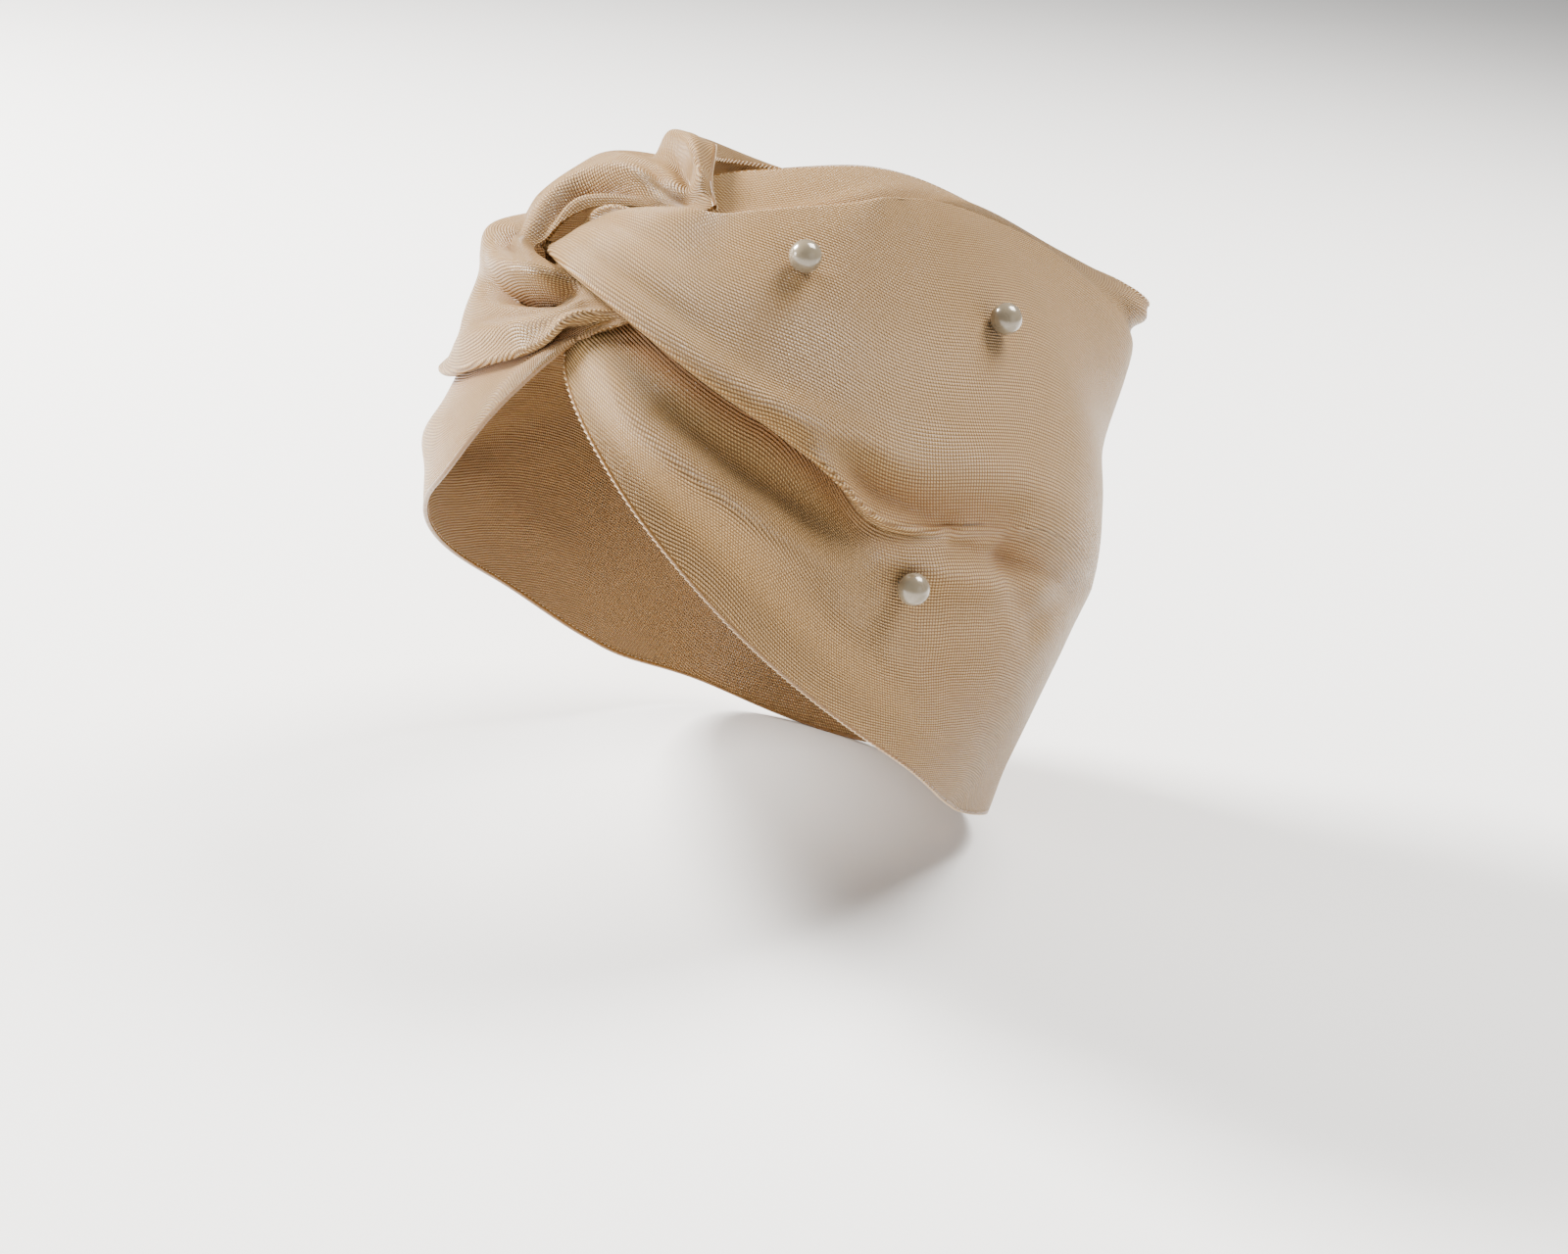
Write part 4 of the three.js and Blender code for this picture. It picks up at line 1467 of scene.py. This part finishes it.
@dataclass
class Pearl:
    """A round pearl that sits on the cloth, with the two ends of its drilled hole."""

    seat: PearlSeat
    band: Band
    diameter: float = 7.5
    rest_gap: float = 0.05
    rings: int = 28
    sides: int = 48
    wobble: float = 0.006
    hole_depth: float = 0.09
    hole_reach: float = 0.13

    def reach(self, polar: float, angle: float) -> float:
        """How far the pearl's skin lies from its centre: not quite round, and sunk at the hole.

        Args:
            polar: Angle from the hole's axis.
            angle: Angle round that axis.

        Returns:
            The distance, in radii.
        """
        wobble = 1 + self.wobble * math.sin(3 * angle + 2 * polar) * math.sin(polar)
        ends = [math.exp(-((gap / self.hole_reach) ** 2)) for gap in (polar, math.pi - polar)]
        return wobble * (1 - self.hole_depth * ends[0] - self.hole_depth * ends[1])

    def build(self, material: bpy.types.Material) -> bpy.types.Object:
        """Builds the pearl on its seat.

        Args:
            material: The pearl's finish.

        Returns:
            The pearl's object.
        """
        at = self.band.names.index(self.seat.line) + self.seat.share
        point, normal = self.band.spot(self.seat.station, at)
        centre = point + normal * (self.band.cloth.wall / 2 + self.rest_gap + self.diameter / 2)
        mesh = bpy.data.meshes.new(self.seat.name)
        radius = self.diameter / 2
        rings, sides = self.rings, self.sides
        turn = np.array(Vector((0, 0, 1)).rotation_difference(Vector(normal)).to_matrix())
        vertices: list[np.ndarray] = []
        for i in range(rings + 1):
            polar = math.pi * i / rings
            for j in range(sides):
                angle = 2 * math.pi * j / sides
                x, y = math.sin(polar) * math.cos(angle), math.sin(polar) * math.sin(angle)
                local = radius * self.reach(polar, angle) * np.array([math.cos(polar), y, -x])
                vertices.append((centre + turn @ local) * MM)
        faces: list[tuple[int, ...]] = []
        for start in range(0, rings * sides, sides):
            for j in range(sides):
                after = (j + 1) % sides
                faces.append((start + j, start + sides + j, start + sides + after, start + after))
        mesh.from_pydata([tuple(v) for v in vertices], [], faces)
        self.weld(mesh)
        mesh.materials.append(material)
        piece = in_scene(self.seat.name + "_nacre", mesh)
        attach(piece, "root")
        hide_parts(self.seat.name)
        return piece

    @staticmethod
    def weld(mesh: bpy.types.Mesh) -> None:
        """Merges the poles, turns the faces outward and smooths them.

        Args:
            mesh: The pearl's mesh.
        """
        body = bmesh.new()
        body.from_mesh(mesh)
        bmesh.ops.remove_doubles(body, verts=body.verts, dist=1e-7)
        bmesh.ops.recalc_face_normals(body, faces=body.faces)
        body.to_mesh(mesh)
        body.free()
        mesh.polygons.foreach_set("use_smooth", np.ones(len(mesh.polygons), bool))
        mesh.update()


@dataclass
class Studio:
    """Pale floor, soft lights and the camera at the photograph's angle."""

    azimuth: float = 38.27
    elevation: float = 21.4
    roll: float = 6.88
    distance: float = 600.0
    focal_pixels: float = 2372.07
    image_width: float = 1600.0
    shift_right: float = -0.43
    shift_up: float = -30.02
    floor_level: float = -0.083
    floor_side: float = 4.0
    sensor: float = 36.0
    lamp_colour: Triple = (1.0, 0.965, 0.91)
    sky_colour: Triple = (1.0, 0.99, 0.97)
    sky_power: float = 0.36

    def camera(self) -> bpy.types.Object:
        """Makes the scene's camera.

        Returns:
            The camera's object.
        """
        a, e, r = (math.radians(x) for x in (self.azimuth, self.elevation, self.roll))
        back = Vector((math.sin(a) * math.cos(e), -math.cos(a) * math.cos(e), math.sin(e)))
        flat_right = Vector((math.cos(a), math.sin(a), 0))
        flat_up = back.cross(flat_right)
        right = flat_right * math.cos(r) + flat_up * math.sin(r)
        up = flat_up * math.cos(r) - flat_right * math.sin(r)
        eye = (right * self.shift_right + up * self.shift_up + back * self.distance) * MM
        data = bpy.data.cameras.new("photo_view")
        data.sensor_width = self.sensor
        data.lens = self.sensor * self.focal_pixels / self.image_width
        data.clip_start = 0.01
        data.clip_end = 50.0
        camera = in_scene("photo_view", data)
        turn = Matrix((right, up, back)).transposed().to_4x4()
        camera.matrix_world = Matrix.Translation(eye) @ turn
        bpy.context.scene.camera = camera
        return camera

    def light(self, name: str, place: Triple, size: float, power: float) -> bpy.types.Object:
        """Adds one soft square light that faces the wrap.

        Args:
            name: The light's name.
            place: Its place, in metres.
            size: Side of the square, in metres.
            power: Power in watts.

        Returns:
            The light's object.
        """
        data = bpy.data.lights.new(name, "AREA")
        data.shape = "SQUARE"
        data.size = size
        data.energy = power
        data.color = self.lamp_colour
        lamp = in_scene(name, data)
        lamp.location = place
        lamp.rotation_mode = "QUATERNION"
        lamp.rotation_quaternion = Vector(place).to_track_quat("Z", "Y")
        return lamp

    def build(self, finishes: Finishes) -> None:
        """Makes the floor, the lights, the sky and the camera.

        Args:
            finishes: The material maker.
        """
        mesh = bpy.data.meshes.new("floor")
        side, z = self.floor_side, self.floor_level
        corners = [(-side, -side, z), (side, -side, z), (side, side, z), (-side, side, z)]
        mesh.from_pydata(corners, [], [(0, 1, 2, 3)])
        mesh.materials.append(finishes.floor())
        floor = in_scene("floor", mesh)
        self.light("window_light", (-1.4, -0.4, 0.95), 0.45, 135.0)
        self.light("top_light", (0.25, 0.85, 1.5), 0.8, 70.0)
        self.light("front_light", (-1.15, -1.35, 0.35), 0.45, 17.0)
        self.light("side_fill", (1.8, -0.1, 0.6), 1.2, 4.0)
        world = bpy.data.worlds.new("studio")
        world.use_nodes = True
        sky = world.node_tree.nodes["Background"]
        sky.inputs[0].default_value = (*self.sky_colour, 1.0)
        sky.inputs[1].default_value = self.sky_power
        bpy.context.scene.world = world
        self.camera()


@dataclass
class Headwrap:
    """The whole wrap: both bands, their hems and the pearls."""

    finishes: Finishes
    satin: SatinFinish = field(default_factory=SatinFinish)

    def near_band(self) -> Band:
        """The wearer's left band, which faces the camera."""
        tables = (NEAR_LINES, NEAR_RELIEFS, NEAR_PLEATS, NEAR_SPANS, NEAR_RIDGES, NEAR_EASED)
        return Band("near_band_satin", "near_band", Hand.LEFT, *tables)

    def far_band(self) -> Band:
        """The wearer's right band, which forms the knot's raised folds."""
        tables = (FAR_LINES, FAR_RELIEFS, FAR_PLEATS, FAR_SPANS, FAR_RIDGES, FAR_EASED)
        return Band("far_band_satin", "far_band", Hand.RIGHT, *tables)

    def build(self) -> None:
        thread = self.finishes.thread(ThreadFinish())
        nacre = self.finishes.pearl(PearlFinish())
        satin = self.finishes.satin(self.satin)
        edging = self.finishes.hem(self.satin)
        bands = {"near": self.near_band(), "far": self.far_band()}
        bands["far"].sew_to(bands["near"])
        cloths = {}
        for side, band in bands.items():
            piece = band.build(satin)
            cloths[side] = piece
            LOG.info("%s: %d faces", piece.name, len(piece.data.polygons))
            for edge, last in (("bottom", False), ("top", True)):
                hem = RolledHem(f"{side}_{edge}_hem", band.edge_path(last))
                made = hem.build(edging, thread)
                LOG.info("%s: %d faces", made.name, len(made.data.polygons))
            width, length = band.flat_size()
            LOG.info("%s opened out: %.3f by %.3f m", piece.name, width, length)
        seam = RolledHem(
            "back_seam",
            bands["near"].seam_path(),
            roll_radius=0.0005,
            stitch_pitch=0.0021,
            stitch_radius=0.00016,
            stitch_slant=1.2,
        )
        made = seam.build(edging, thread)
        LOG.info("%s: %d faces", made.name, len(made.data.polygons))
        seats = (
            PearlSeat("near_pearl_front", "lowerPleat", 0.66, 3.68),
            PearlSeat("near_pearl_back", "lowerPleat", 0.55, 5.5),
            PearlSeat("near_pearl_low", "bottomHem", 0.86, 5.12),
            PearlSeat("far_pearl_front", "lobeCrease", 0.2, 4.9),
            PearlSeat("far_pearl_back", "pinch", 0.8, 5.6),
            PearlSeat("far_pearl_low", "bottomHem", 0.86, 5.12),
        )
        for seat in seats:
            pearl = Pearl(seat, bands[seat.name.split("_")[0]]).build(nacre)
            LOG.info("%s: %d faces", pearl.name, len(pearl.data.polygons))


def main() -> None:
    """Builds the wrap and the studio."""
    logging.basicConfig(level=logging.INFO, format="%(name)s %(message)s")
    finishes = Finishes()
    Headwrap(finishes).build()
    Studio().build(finishes)
    bpy.context.view_layer.update()


if __name__ == "__main__":
    main()
